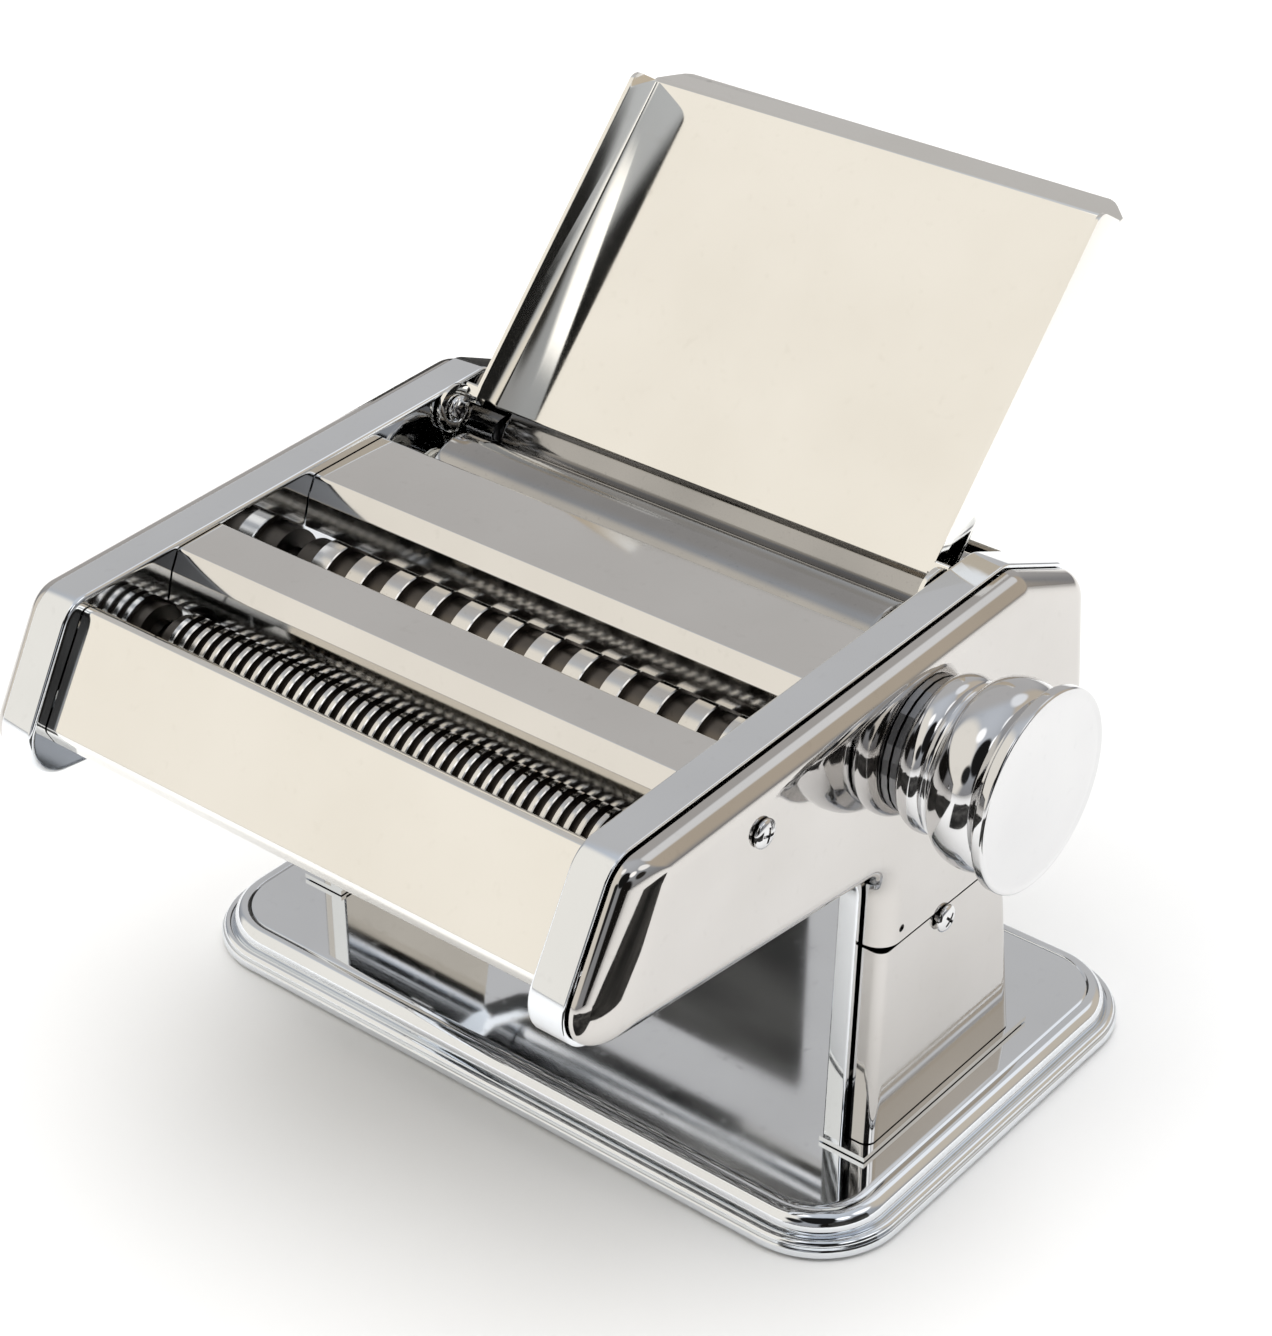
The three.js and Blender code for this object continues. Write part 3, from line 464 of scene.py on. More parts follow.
def rounded(corners: Sequence[Corner], inset: float = 0.0, steps: int = 12) -> list[Point]:
    """The outline round an anticlockwise polygon whose corners have radii.

    Args:
        corners: Each corner's place and radius.
        inset: How far the outline is moved inwards.
        steps: Stretches in each corner's arc.

    Returns:
        The outline's points, the same number for every inset.
    """
    count = len(corners)
    lines = []
    for i, (u, v, _) in enumerate(corners):
        after = corners[(i + 1) % count]
        along = Vector((after[0] - u, after[1] - v)).normalized()
        inward = Vector((-along.y, along.x))
        lines.append((along, inward, Vector((u, v)) + inward * inset))
    points: list[Point] = []
    for i, (_, _, radius) in enumerate(corners):
        (along0, inward0, start0), (along1, _, start1) = lines[i - 1], lines[i]
        turn = along0.cross(along1)
        corner = start0 + along0 * ((start1 - start0).cross(along1) / turn)
        if not radius:
            points.append(tuple(corner))
            continue
        side = math.copysign(1.0, turn)
        bend = max(radius - side * inset, 0.1)
        angle = math.acos(max(-1.0, min(1.0, along0.dot(along1))))
        middle = corner - along0 * (bend * math.tan(angle / 2)) + inward0 * (side * bend)
        first = math.degrees(math.atan2(-side * inward0.y, -side * inward0.x))
        points += arc(tuple(middle), (bend, bend), first, first + side * math.degrees(angle), steps)
    return points


def bent(path: Sequence[Point], thickness: float, radius: float, steps: int = 6) -> list[Point]:
    """The outline of a bent sheet, whose thickness lies to the left of its path.

    Args:
        path: The bends of its outer face.
        thickness: The sheet's thickness.
        radius: The bends' radius, measured on the path.
        steps: Stretches in each bend.

    Returns:
        A closed outline.
    """
    spine: list[tuple[Vector, Vector]] = []
    points = [Vector(p) for p in path]
    directions = [(b - a).normalized() for a, b in zip(points, points[1:])]
    spine.append((points[0], Vector((-directions[0].y, directions[0].x))))
    for before, after, corner in zip(directions, directions[1:], points[1:]):
        angle = math.atan2(before.cross(after), before.dot(after))
        reach = radius * math.tan(abs(angle) / 2)
        side = math.copysign(1.0, angle)
        left = Vector((-before.y, before.x))
        middle = corner - before * reach + left * (side * radius)
        for k in range(steps + 1):
            turned = Matrix.Rotation(angle * k / steps, 2) @ left
            spine.append((middle - turned * (side * radius), turned))
    spine.append((points[-1], Vector((-directions[-1].y, directions[-1].x))))
    outer = [tuple(at) for at, _ in spine]
    inner = [tuple(at + left * thickness) for at, left in spine]
    return outer + inner[::-1]


def across(outline: Iterable[Point], x: float) -> list[Vector]:
    """A side outline's points, standing at one x."""
    return [Vector((x, y, z)) for y, z in outline]


# ---- Shells -----------------------------------------------------------------------------------------


WELD = 1e-4  # points nearer than this, in millimetres, become one
ON_AXIS = 1e-6  # a smaller radius is a point on the axis


class Shell:
    """One piece's faces, in drawing millimetres."""

    def __init__(self) -> None:
        """Starts with no faces."""
        self.mesh = bmesh.new()

    @classmethod
    def from_mesh(cls, mesh: bpy.types.Mesh) -> "Shell":
        """A shell with a plain mesh's faces.

        Args:
            mesh: The mesh.

        Returns:
            The shell.
        """
        made = cls()
        made.mesh.from_mesh(mesh)
        return made

    def loft(self, loops: Sequence[Sequence[Vector]]) -> "Shell":
        """Adds a closed body through loops of equal length.

        Args:
            loops: The loops in order; the first and last are closed by flat ends.

        Returns:
            This shell.
        """
        rows = [[self.mesh.verts.new(point) for point in loop] for loop in loops]
        for low, high in zip(rows, rows[1:]):
            for i in range(len(low)):
                j = (i + 1) % len(low)
                self.mesh.faces.new((low[i], low[j], high[j], high[i]))
        self.mesh.faces.new(rows[0][::-1])
        self.mesh.faces.new(rows[-1])
        return self

    def prism(self, outline: Sequence[Point], x0: float, x1: float) -> "Shell":
        """Adds a side outline with thickness from x0 to x1."""
        return self.loft([across(outline, x0), across(outline, x1)])

    def block(self, low: Sequence[float], high: Sequence[float]) -> "Shell":
        """Adds a block between two corners."""
        (x0, y0, z0), (x1, y1, z1) = low, high
        return self.prism([(y0, z0), (y1, z0), (y1, z1), (y0, z1)], x0, x1)

    def lathe(self, profile: Sequence[Point], y: float, z: float, segments: int = 96) -> "Shell":
        """Adds a body turned about the line (y, z) along x.

        Args:
            profile: Points (x, radius). It starts and ends on the axis, or closes on itself.
            y: The axis's place.
            z: The axis's height.
            segments: Faces round the axis.

        Returns:
            This shell.
        """
        turns = [2 * math.pi * k / segments for k in range(segments)]
        rings = []
        for x, radius in profile:
            around = turns if radius > ON_AXIS else turns[:1]
            places = [Vector((x, y + radius * math.cos(t), z + radius * math.sin(t))) for t in around]
            rings.append([self.mesh.verts.new(place) for place in places])
        pairs = list(zip(rings, rings[1:]))
        if len(rings[0]) > 1:
            pairs.append((rings[-1], rings[0]))
        for low, high in pairs:
            for i in range(segments):
                j = (i + 1) % segments
                corners = [low[i % len(low)], low[j % len(low)], high[j % len(high)], high[i % len(high)]]
                face = list(dict.fromkeys(corners))
                if len(face) > 2:
                    self.mesh.faces.new(face)
        return self

    def bar(self, x0: float, x1: float, radius: float, at: Sequence[float], segments: int) -> "Shell":
        """Adds a plain round bar from x0 to x1, about the point (y, z)."""
        return self.lathe([(x0, 0.0), (x0, radius), (x1, radius), (x1, 0.0)], *at, segments)

    def absorb(self, other: "Shell") -> "Shell":
        """Adds another shell's faces to this one's.

        Args:
            other: The other shell, which stays as it is.

        Returns:
            This shell.
        """
        mesh = bpy.data.meshes.new("absorbed")
        other.mesh.to_mesh(mesh)
        self.mesh.from_mesh(mesh)
        bpy.data.meshes.remove(mesh)
        return self

    def moved(self, matrix: Matrix) -> "Shell":
        """This shell after a move."""
        bmesh.ops.transform(self.mesh, matrix=matrix, verts=self.mesh.verts)
        return self

    def mirrored(self, side: Side) -> "Shell":
        """This shell, turned over to the left end if that is the side asked for."""
        if side is Side.LEFT:
            self.moved(Matrix.Scale(-1, 4, Vector((1, 0, 0))))
        return self

    def plain_object(self, name: str) -> bpy.types.Object:
        """An object with these faces, all facing outwards.

        Args:
            name: The object's name.

        Returns:
            The object, in the scene.
        """
        bmesh.ops.remove_doubles(self.mesh, verts=self.mesh.verts, dist=WELD)
        bmesh.ops.recalc_face_normals(self.mesh, faces=self.mesh.faces)
        mesh = bpy.data.meshes.new(name)
        self.mesh.to_mesh(mesh)
        made = bpy.data.objects.new(name, mesh)
        bpy.context.scene.collection.objects.link(made)
        return made

    def worked(self, cut: Cut, *tools: "Shell") -> "Shell":
        """This shell with others taken away or joined to it.

        Args:
            cut: What is done.
            *tools: The other shells.

        Returns:
            A new shell.
        """
        host = self.plain_object("work")
        others = [tool.plain_object("tool") for tool in tools]
        for other in others:
            modifier = host.modifiers.new("work", "BOOLEAN")
            modifier.object = other
            modifier.operation = cut.value
            modifier.solver = "EXACT"
        made = Shell.from_mesh(baked(host))
        for spent in [host, *others]:
            bpy.data.objects.remove(spent)
        return made


def baked(made: bpy.types.Object) -> bpy.types.Mesh:
    """The mesh that an object's modifiers give."""
    graph = bpy.context.evaluated_depsgraph_get()
    return bpy.data.meshes.new_from_object(made.evaluated_get(graph), depsgraph=graph)


class Drawing:
    """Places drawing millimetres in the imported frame."""

    def __init__(self) -> None:
        """Takes the middle of the base plate as the drawing's zero."""
        low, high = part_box("base_plate")
        middle = (low + high) / 2
        self.zero = Vector((middle.x, middle.y, CAD_BOX[0].z))
        self.to_frame = Matrix.Translation(self.zero) @ Matrix.Scale(MM, 4)

    def at(self, x: float, y: float, z: float) -> Vector:
        """A drawing point in the frame."""
        return self.to_frame @ Vector((x, y, z))

    def axis(self, node: str) -> Point:
        """The middle of a node's box, seen along x, in drawing millimetres.

        Args:
            node: The CAD node.

        Returns:
            The middle's y and z.
        """
        low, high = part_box(node)
        middle = self.to_frame.inverted() @ ((low + high) / 2)
        return (middle.y, middle.z)

    def span(self, node: str) -> Point:
        """The lowest and highest x of a node, in drawing millimetres."""
        low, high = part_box(node)
        return ((low.x - self.zero.x) / MM, (high.x - self.zero.x) / MM)


DRAWING = Drawing()
BEHIND = 2.0  # a hole's tool starts this far behind the sheet, in millimetres
BEYOND = 3.0  # and ends this far past it
BEVEL_ANGLE = 40.0  # edges that turn more, in degrees, are bevelled


def add_piece(
    name: str,
    shell: Shell,
    finish: Polish | Moulding,
    body: str,
    nodes: Sequence[str],
    edge: float = 0.0,
    sharp: float = 32.0,
    groove: tuple[Polish, float] | None = None,
) -> bpy.types.Object:
    """Puts a finished shell in the scene.

    Args:
        name: The piece's name.
        shell: Its faces.
        finish: Its finish.
        body: The CAD body it rides on.
        nodes: The CAD nodes it stands for.
        edge: Width of the bevel along its sharp edges, in millimetres.
        sharp: Edges that turn more than this many degrees stay crisp.
        groove: A second, darker finish that paints shade near the axis, and the distance from the first
            node's axis within which it is used.

    Returns:
        The piece.
    """
    made = shell.plain_object(name)
    if edge:
        bevel = made.modifiers.new("edge", "BEVEL")
        bevel.width = edge
        bevel.segments = 2
        bevel.limit_method = "ANGLE"
        bevel.angle_limit = math.radians(BEVEL_ANGLE)
        mesh = baked(made)
        made.modifiers.clear()
        made.data = mesh
        mesh.name = name
    mesh = made.data
    mesh.materials.clear()
    mesh.materials.append(STOCK.of(finish))
    slots = [0] * len(mesh.polygons)
    if groove:
        y, z = DRAWING.axis(nodes[0])
        middles = [face.center for face in mesh.polygons]
        slots = [int(math.hypot(at.y - y, at.z - z) < groove[1]) for at in middles]
        mesh.materials.append(STOCK.of(groove[0]))
    mesh.transform(DRAWING.to_frame)
    mesh.polygons.foreach_set("material_index", slots)
    mesh.shade_smooth()
    mesh.set_sharp_from_angle(angle=math.radians(sharp))
    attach(made, body)
    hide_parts(*nodes)
    LOG.info("%s: %d faces", name, len(mesh.polygons))
    return made


# ---- Repeated pieces --------------------------------------------------------------------------------


class Pattern(Graph):
    """A Geometry Nodes tree that repeats a shape, with named inputs."""

    def __init__(self, name: str, inputs: dict[str, str]) -> None:
        """Makes the tree and its inputs.

        Args:
            name: The tree's name.
            inputs: Each input's name and socket type.
        """
        super().__init__(bpy.data.node_groups.new(name, "GeometryNodeTree"))
        face = self.tree.interface
        face.new_socket("Geometry", in_out="OUTPUT", socket_type="NodeSocketGeometry")
        face.new_socket("Geometry", in_out="INPUT", socket_type="NodeSocketGeometry")
        for label, kind in {**inputs, "Finish": "NodeSocketMaterial"}.items():
            face.new_socket(label, in_out="INPUT", socket_type=kind)
        self.start = self.node("NodeGroupInput", {}, {})

    def given(self, label: str) -> Wire:
        """One of the tree's inputs."""
        return self.wire(self.start, label)

    def row(self) -> Wire:
        """Points in a row along x, from the inputs Count and Pitch."""
        offset = self.add("ShaderNodeCombineXYZ", {}, {"X": self.given("Pitch")})
        inputs = {"Count": self.given("Count"), "Offset": offset}
        return self.add("GeometryNodeMeshLine", {"mode": "OFFSET"}, inputs)

    def end(self, points: Wire, shape: Wire, turn: Wire | Corner = (0.0, 0.0, 0.0)) -> None:
        """Ends the tree with the shape set on every point, turned, made real and finished.

        Args:
            points: The points.
            shape: What is set on each.
            turn: Its turn, one for all or one for each.
        """
        inputs = {"Points": points, "Instance": shape, "Rotation": turn}
        copies = self.add("GeometryNodeInstanceOnPoints", {}, inputs)
        real = self.add("GeometryNodeRealizeInstances", {}, {"Geometry": copies})
        done = self.add("GeometryNodeSetMaterial", {}, {"Geometry": real, "Material": self.given("Finish")})
        self.node("NodeGroupOutput", {}, {"Geometry": done})

    def grown(self, values: dict[str, object], host: bpy.types.Mesh | None = None) -> Shell:
        """Runs the tree.

        Args:
            values: The inputs by name.
            host: The mesh that the tree is given, if it needs one.

        Returns:
            A shell of the result.
        """
        base = bpy.data.objects.new("pattern", host or bpy.data.meshes.new("pattern"))
        bpy.context.scene.collection.objects.link(base)
        modifier = base.modifiers.new("pattern", "NODES")
        modifier.node_group = self.tree
        for item in self.tree.interface.items_tree:
            if item.item_type == "SOCKET" and item.in_out == "INPUT" and item.name in values:
                modifier[item.identifier] = values[item.name]
        shell = Shell.from_mesh(baked(base))
        bpy.data.objects.remove(base)
        return shell


def ring_pattern() -> Pattern:
    """Rings with eased edges, standing in a row along x."""
    counts = dict.fromkeys(("Count", "Sides"), "NodeSocketInt")
    sizes = dict.fromkeys(("Pitch", "Width", "Height", "Radius", "Edge"), "NodeSocketFloat")
    pattern = Pattern("cutter_rings", {**counts, **sizes})
    given, add = pattern.given, pattern.add
    middle = given("Radius") - given("Height") * 0.5
    around = {"Resolution": given("Sides"), "Radius": middle}
    circle = add("GeometryNodeCurvePrimitiveCircle", {"mode": "RADIUS"}, around)
    size = {"Width": given("Height"), "Height": given("Width")}
    section = add("GeometryNodeCurvePrimitiveQuadrilateral", {"mode": "RECTANGLE"}, size)
    corners = {"Curve": section, "Count": 1, "Radius": given("Edge")}
    eased = add("GeometryNodeFilletCurve", {"mode": "POLY"}, corners)
    ring = add("GeometryNodeCurveToMesh", {}, {"Curve": circle, "Profile Curve": eased})
    pattern.end(pattern.row(), ring, (0.0, math.pi / 2, 0.0))
    return pattern


def finger_pattern() -> Pattern:
    """Square fingers in a row along x."""
    inputs = {"Count": "NodeSocketInt", "Pitch": "NodeSocketFloat", "Size": "NodeSocketVector"}
    pattern = Pattern("comb_fingers", inputs)
    finger = pattern.add("GeometryNodeMeshCube", {}, {"Size": pattern.given("Size")})
    pattern.end(pattern.row(), finger)
    return pattern


def screw_pattern() -> Pattern:
    """One screw on each point of a mesh, turned as the point's `turn` says."""
    pattern = Pattern("screw_set", {"Screw": "NodeSocketObject"})
    screw = pattern.add("GeometryNodeObjectInfo", {}, {"Object": pattern.given("Screw")}, "Geometry")
    kind = {"data_type": "FLOAT_VECTOR"}
    turn = pattern.add("GeometryNodeInputNamedAttribute", kind, {"Name": "turn"}, "Attribute")
    pattern.end(pattern.given("Geometry"), screw, turn)
    return pattern


# ---- Base -------------------------------------------------------------------------------------------


@dataclass
class Base:
    """The pressed base plate: a flat top, a wide bead, a narrow bead and a low skirt."""

    length: float = 200.0
    depth: float = 130.0
    corner: float = 22.0
    top: float = 9.0
    sheet: float = 1.5

    def _loop(self, inset: float, height: float) -> list[Vector]:
        """The base's outline, moved in, at a height."""
        x, y, r = self.length / 2, self.depth / 2, self.corner
        corners = [(-x, -y, r), (x, -y, r), (x, y, r), (-x, y, r)]
        return [Vector((u, v, height)) for u, v in rounded(corners, inset, 18)]

    def build(self) -> None:
        """Makes the plate from its rim's section, whose points are (inset, height)."""
        inside = self.top - self.sheet
        under = [(10.0, inside), (9.0, inside), (7.6, 7.2), (4.6, 3.4), (2.0, 2.2)]
        skirt = [(2.0, 0.6), (0.5, 0.6), (0.12, 0.95), (0.0, 1.7), (0.05, 2.6), (0.35, 3.0), (1.0, 3.15)]
        narrow_bead = arc((1.95, 3.45), (1.3, 1.25), 172, 25, 10)
        wide_bead = arc((6.45, 5.0), (3.15, 4.15), 178, 72, 18)
        flat = [(7.75, self.top - 0.28), (8.3, self.top), (9.3, self.top), (11.0, self.top)]
        section = under + skirt + narrow_bead + wide_bead + flat
        shell = Shell().loft([self._loop(inset, height) for inset, height in section])
        add_piece("pressed_base", shell, MIRROR, "frame", ["base_plate"], sharp=40)


# ---- End frames and covers --------------------------------------------------------------------------


@dataclass
class EndShape:
    """Side outline of head and leg, shared by the frames and the covers."""

    nose: Point = (-137.7, 94.2)
    front_top: Point = (-116.9, 132.0)
    rear_top: Point = (16.5, 137.0)
    rear: Point = (43.5, 125.5)
    rear_low: Point = (48.0, 90.0)
    arch_front: Point = (-33.5, 83.0)
    arch_rear: Point = (16.2, 79.0)
    foot_front: float = -35.0
    foot_rear: float = 28.2
    foot: float = 9.3
    nose_radius: float = 10.0
    head_radius: float = 9.0
    arch_radius: float = 7.0

    def leg_edge(self, arch: Point, foot: float, z: float) -> float:
        """A leg edge's y at a height."""
        return foot + (z - self.foot) / (arch[1] - self.foot) * (arch[0] - foot)

    def leg(self, low: float, high: float) -> list[Corner]:
        """The leg's corners between two heights.

        Args:
            low: The lower height.
            high: The upper height.

        Returns:
            The corners, down the front and up the rear.
        """
        front = [(self.leg_edge(self.arch_front, self.foot_front, z), z, 0.0) for z in (high, low)]
        rear = [(self.leg_edge(self.arch_rear, self.foot_rear, z), z, 0.0) for z in (low, high)]
        return front + rear

    def _top(self) -> list[Corner]:
        """The corners round the rear and top of the head."""
        return [(*at, self.head_radius) for at in (self.rear_low, self.rear, self.rear_top, self.front_top)]

    def head(self) -> list[Corner]:
        """The head's corners, with its lower edge straight across the leg."""
        arches = [(*self.arch_front, 0.0), (*self.arch_rear, 0.0)]
        return [(*self.nose, self.nose_radius), *arches, *self._top()]

    def whole(self, foot: float) -> list[Corner]:
        """The corners of head and leg, with the leg cut at a height.

        Args:
            foot: The height.

        Returns:
            The corners.
        """
        high = self.arch_front[1]
        front, rear = self.leg(foot, high)[1], self.leg(foot, high)[2]
        arches = [(*self.arch_front, self.arch_radius), front, rear, (*self.arch_rear, self.arch_radius)]
        return [(*self.nose, self.nose_radius), *arches, *self._top()]


def eased_body(
    corners: Sequence[Corner], x0: float, x1: float, inner: float, outer: float, inset: float = 0.0
) -> Shell:
    """A thick side outline, with eased edges on both faces and a narrow flat band inside each edge.

    Args:
        corners: The outline's corners.
        x0: The inner face's x.
        x1: The outer face's x.
        inner: Radius of the inner face's edge.
        outer: Radius of the outer face's edge.
        inset: How far the outline is moved in.

    Returns:
        The shell.
    """
    band = 0.5
    section = arc((inner, x0 + inner), (inner, inner), 270, 180, 6)
    section += arc((outer, x1 - outer), (outer, outer), 180, 90, 6)
    section = [(inner + band, x0), *section, (outer + band, x1)]
    return Shell().loft([across(rounded(corners, inset + i), x) for i, x in section])


@dataclass
class EndFrame:
    """One end's frame: head web and rim, leg web, and foot flange."""

    side: Side
    shape: EndShape = field(default_factory=EndShape)
    web: float = 69.3
    leg_web: float = 73.5
    rim: float = 78.5
    sheet: float = 1.5
    foot_out: float = 85.8
    foot_sheet: float = 1.2
    foot_margins: Point = (1.2, 1.8)
    edges: tuple[float, float, float] = (1.0, 0.5, 0.45)
    holes: dict[str, float] = field(
        default_factory=lambda: {
            "wide_cutter_front": 5.0,
            "wide_cutter_rear": 5.0,
            "narrow_cutter_front": 5.0,
            "narrow_cutter_rear": 5.0,
            "front_roller": 6.3,
            "index_ring": 3.3,
        }
    )
    slot_radius: float = 4.8
    slot_travel: float = 2.0

    def build(self) -> None:
        """Makes the frame from its two dishes and the foot."""
        shape, sheet = self.shape, self.sheet
        head_edge, leg_edge, rim_edge = self.edges
        body = eased_body(shape.head(), self.web, self.rim, head_edge, rim_edge)
        leg = eased_body(shape.whole(shape.foot), self.leg_web, self.rim, leg_edge, rim_edge)
        foot = Shell().block(
            (self.leg_web, shape.foot_front - self.foot_margins[0], shape.foot),
            (self.foot_out, shape.foot_rear + self.foot_margins[1], shape.foot + self.foot_sheet),
        )
        hollows = [
            Shell().prism(rounded(shape.head(), sheet), self.web + sheet, self.rim + 2),
            Shell().prism(rounded(shape.whole(shape.foot), sheet), self.leg_web + sheet, self.rim + 2),
        ]
        frame_body = body.worked(Cut.JOIN, leg).worked(Cut.TAKE_AWAY, *hollows)
        frame_body = frame_body.worked(Cut.JOIN, foot).worked(Cut.TAKE_AWAY, *self._holes())
        end = self.side.name.lower()
        shell = frame_body.mirrored(self.side)
        add_piece(f"end_frame_{end}", shell, MIRROR, "frame", [f"side_frame_{end}"])

    def _holes(self) -> list[Shell]:
        """The web's holes for rollers, cutters and the knob's shaft."""
        x0, x1 = self.web - BEHIND, self.web + BEYOND
        tools = [Shell().bar(x0, x1, r, DRAWING.axis(node), 32) for node, r in self.holes.items()]
        y, z = DRAWING.axis("rear_roller")
        radii = (self.slot_radius, self.slot_radius)
        slot = arc((y, z), radii, -90, 90, 10) + arc((y - self.slot_travel, z), radii, 90, 270, 10)
        return tools + [Shell().prism(slot, x0, x1)]


@dataclass
class EndCovers:
    """One end's deep-drawn head cover, and the leg cover below the seam."""

    side: Side
    shape: EndShape = field(
        default_factory=lambda: EndShape(
            arch_front=(-32.3, 83.0), arch_rear=(15.0, 79.0), foot_front=-33.6, foot_rear=26.8
        )
    )
    nose_slope: float = 8.0
    edge: float = 79.1
    face: float = 84.8
    leg_face: float = 84.5
    sheet: float = 0.7
    shoulder: float = 5.5
    leg_shoulder: float = 2.6
    reveal: float = 1.0
    seam: float = 64.0
    seam_gap: float = 0.9
    vent: float = 0.9
    vent_at: Point = (-25.4, 67.4)
    foot_top: float = 10.8
    crank_hole: float = 6.6
    knob_hole: float = 4.0
    flat_ring: float = 0.8
    slab_half_width: float = 90.0

    def _drawn(self, corners: Sequence[Corner], shoulder: float, face: float) -> Shell:
        """A drawn sheet shell: flat face, round shoulder and open back.

        Args:
            corners: The outline's corners.
            shoulder: The outer bend's radius.
            face: The flat face's x.

        Returns:
            The shell.
        """
        skins = []
        for extra, back in ((0.0, self.edge), (self.sheet, self.edge - 1)):
            bend = shoulder - extra
            start = self.reveal + extra
            turns = arc((start + bend, face - extra - bend), (bend, bend), 180, 90, 12)
            levels = [(start, back), *turns, (start + bend + self.flat_ring, face - extra)]
            loops = []
            for inset, x in levels:
                share = min(1.0, max(0.0, (inset - start) / bend))
                loops.append(across(rounded(self._sloped(corners, share), inset), x))
            skins.append(Shell().loft(loops))
        return skins[0].worked(Cut.TAKE_AWAY, skins[1])

    def _sloped(self, corners: Sequence[Corner], share: float) -> list[Corner]:
        """The corners, with those at the front end moved back by a share of the nose's slope."""
        front = self.shape.front_top[0] + 1.0
        return [(y + self.nose_slope * share if y < front else y, z, r) for y, z, r in corners]

    def _hole(self, radius: float, at: Point) -> Shell:
        """A tool for a round hole through the face."""
        return Shell().bar(self.edge - BEHIND, self.face + BEYOND, radius, at, 48)

    def _slab(self, low: float, high: float) -> Shell:
        """A tool that takes away everything between two heights."""
        half = self.slab_half_width
        return Shell().block((self.edge - BEYOND, -half, low), (self.face + BEYOND, half, high))

    def build(self) -> None:
        """Makes both covers, each drawn past the seam and then cut there."""
        if self.side is Side.LEFT:
            sockets = [f"{name}_crank_socket" for name in ("smooth", "wide", "narrow")]
            holes = [self._hole(self.crank_hole, DRAWING.axis(node)) for node in sockets]
        else:
            holes = [self._hole(self.knob_hole, DRAWING.axis("knob_body"))]
            holes.append(self._hole(self.vent, self.vent_at))
        head = self._drawn(self.shape.whole(self.seam - 30), self.shoulder, self.face)
        head = head.worked(Cut.TAKE_AWAY, self._slab(0, self.seam), *holes)
        leg = self._drawn(self.shape.leg(-10.0, self.seam + 20), self.leg_shoulder, self.leg_face)
        ends = self._slab(self.seam - self.seam_gap, 200), self._slab(-60, self.foot_top)
        leg = leg.worked(Cut.TAKE_AWAY, *ends)
        end = self.side.name.lower()
        for name, node, shell in (("drawn_cover", "head_cover", head), ("leg_panel", "leg_cover", leg)):
            shell.mirrored(self.side)
            add_piece(f"{name}_{end}", shell, DRAWN_CHROME, "frame", [f"{node}_{end}"])


# ---- Fasteners --------------------------------------------------------------------------------------


@dataclass
class Fasteners:
    """The domed cross-recess screws of the covers and the feed plate."""

    head_radius: float = 3.3
    head_height: float = 1.5
    shank_radius: float = 1.6
    recess_arm: float = 1.75
    recess_half_width: float = 0.34
    edge: float = 0.35
    first_turn: float = 0.85
    next_turn: float = 0.5

    def _screw(self, shank: float) -> bpy.types.Object:
        """One screw along +x, with its head's flat at zero.

        Args:
            shank: The shank's length.

        Returns:
            The screw, as an object for the pattern.
        """
        dome = arc((self.edge, 0.0), (self.head_height - self.edge, self.head_radius), 90, 0, 10)
        profile = [(-shank, 0.0), (-shank, self.shank_radius), (0.0, self.shank_radius)]
        profile += [(0.0, self.head_radius - 0.15), (0.12, self.head_radius)] + dome
        body = Shell().lathe(profile, 0.0, 0.0, 40)
        arm, half, floor = self.recess_arm, self.recess_half_width, self.head_height * 0.35
        arms = ((arm, half), (half, arm))
        bars = [Shell().block((floor, -a, -b), (self.head_height + 1, a, b)) for a, b in arms]
        return body.worked(Cut.TAKE_AWAY, *bars).plain_object("screw")

    def build(self) -> None:
        """Sets every screw."""
        pattern = screw_pattern()
        for label, shank, inward in (("cover", 15.2, False), ("feed_plate", 3.2, True)):
            found = [n for n in frame["nodes"] if n.startswith(f"{label}_") and "_screw_" in n]
            nodes = sorted(found)
            screw = self._screw(shank)
            host = bpy.data.meshes.new("screw_places")
            places, turns = [], []
            for i, node in enumerate(nodes):
                x0, x1 = DRAWING.span(node)
                facing = math.copysign(1.0, x0 + x1) * (-1 if inward else 1)
                end = x1 if facing > 0 else x0
                places.append((end - facing * self.head_height, *DRAWING.axis(node)))
                turns += [self.first_turn + self.next_turn * i, 0.0, 0.0 if facing > 0 else math.pi]
            host.from_pydata(places, [], [])
            attribute = host.attributes.new("turn", "FLOAT_VECTOR", "POINT")
            attribute.data.foreach_set("vector", turns)
            shell = pattern.grown({"Screw": screw, "Finish": STOCK.of(PLAIN_CHROME)}, host)
            bpy.data.objects.remove(screw)
            add_piece(f"{label}_screws", shell, PLAIN_CHROME, "frame", nodes)


# ---- Sheet panels -----------------------------------------------------------------------------------


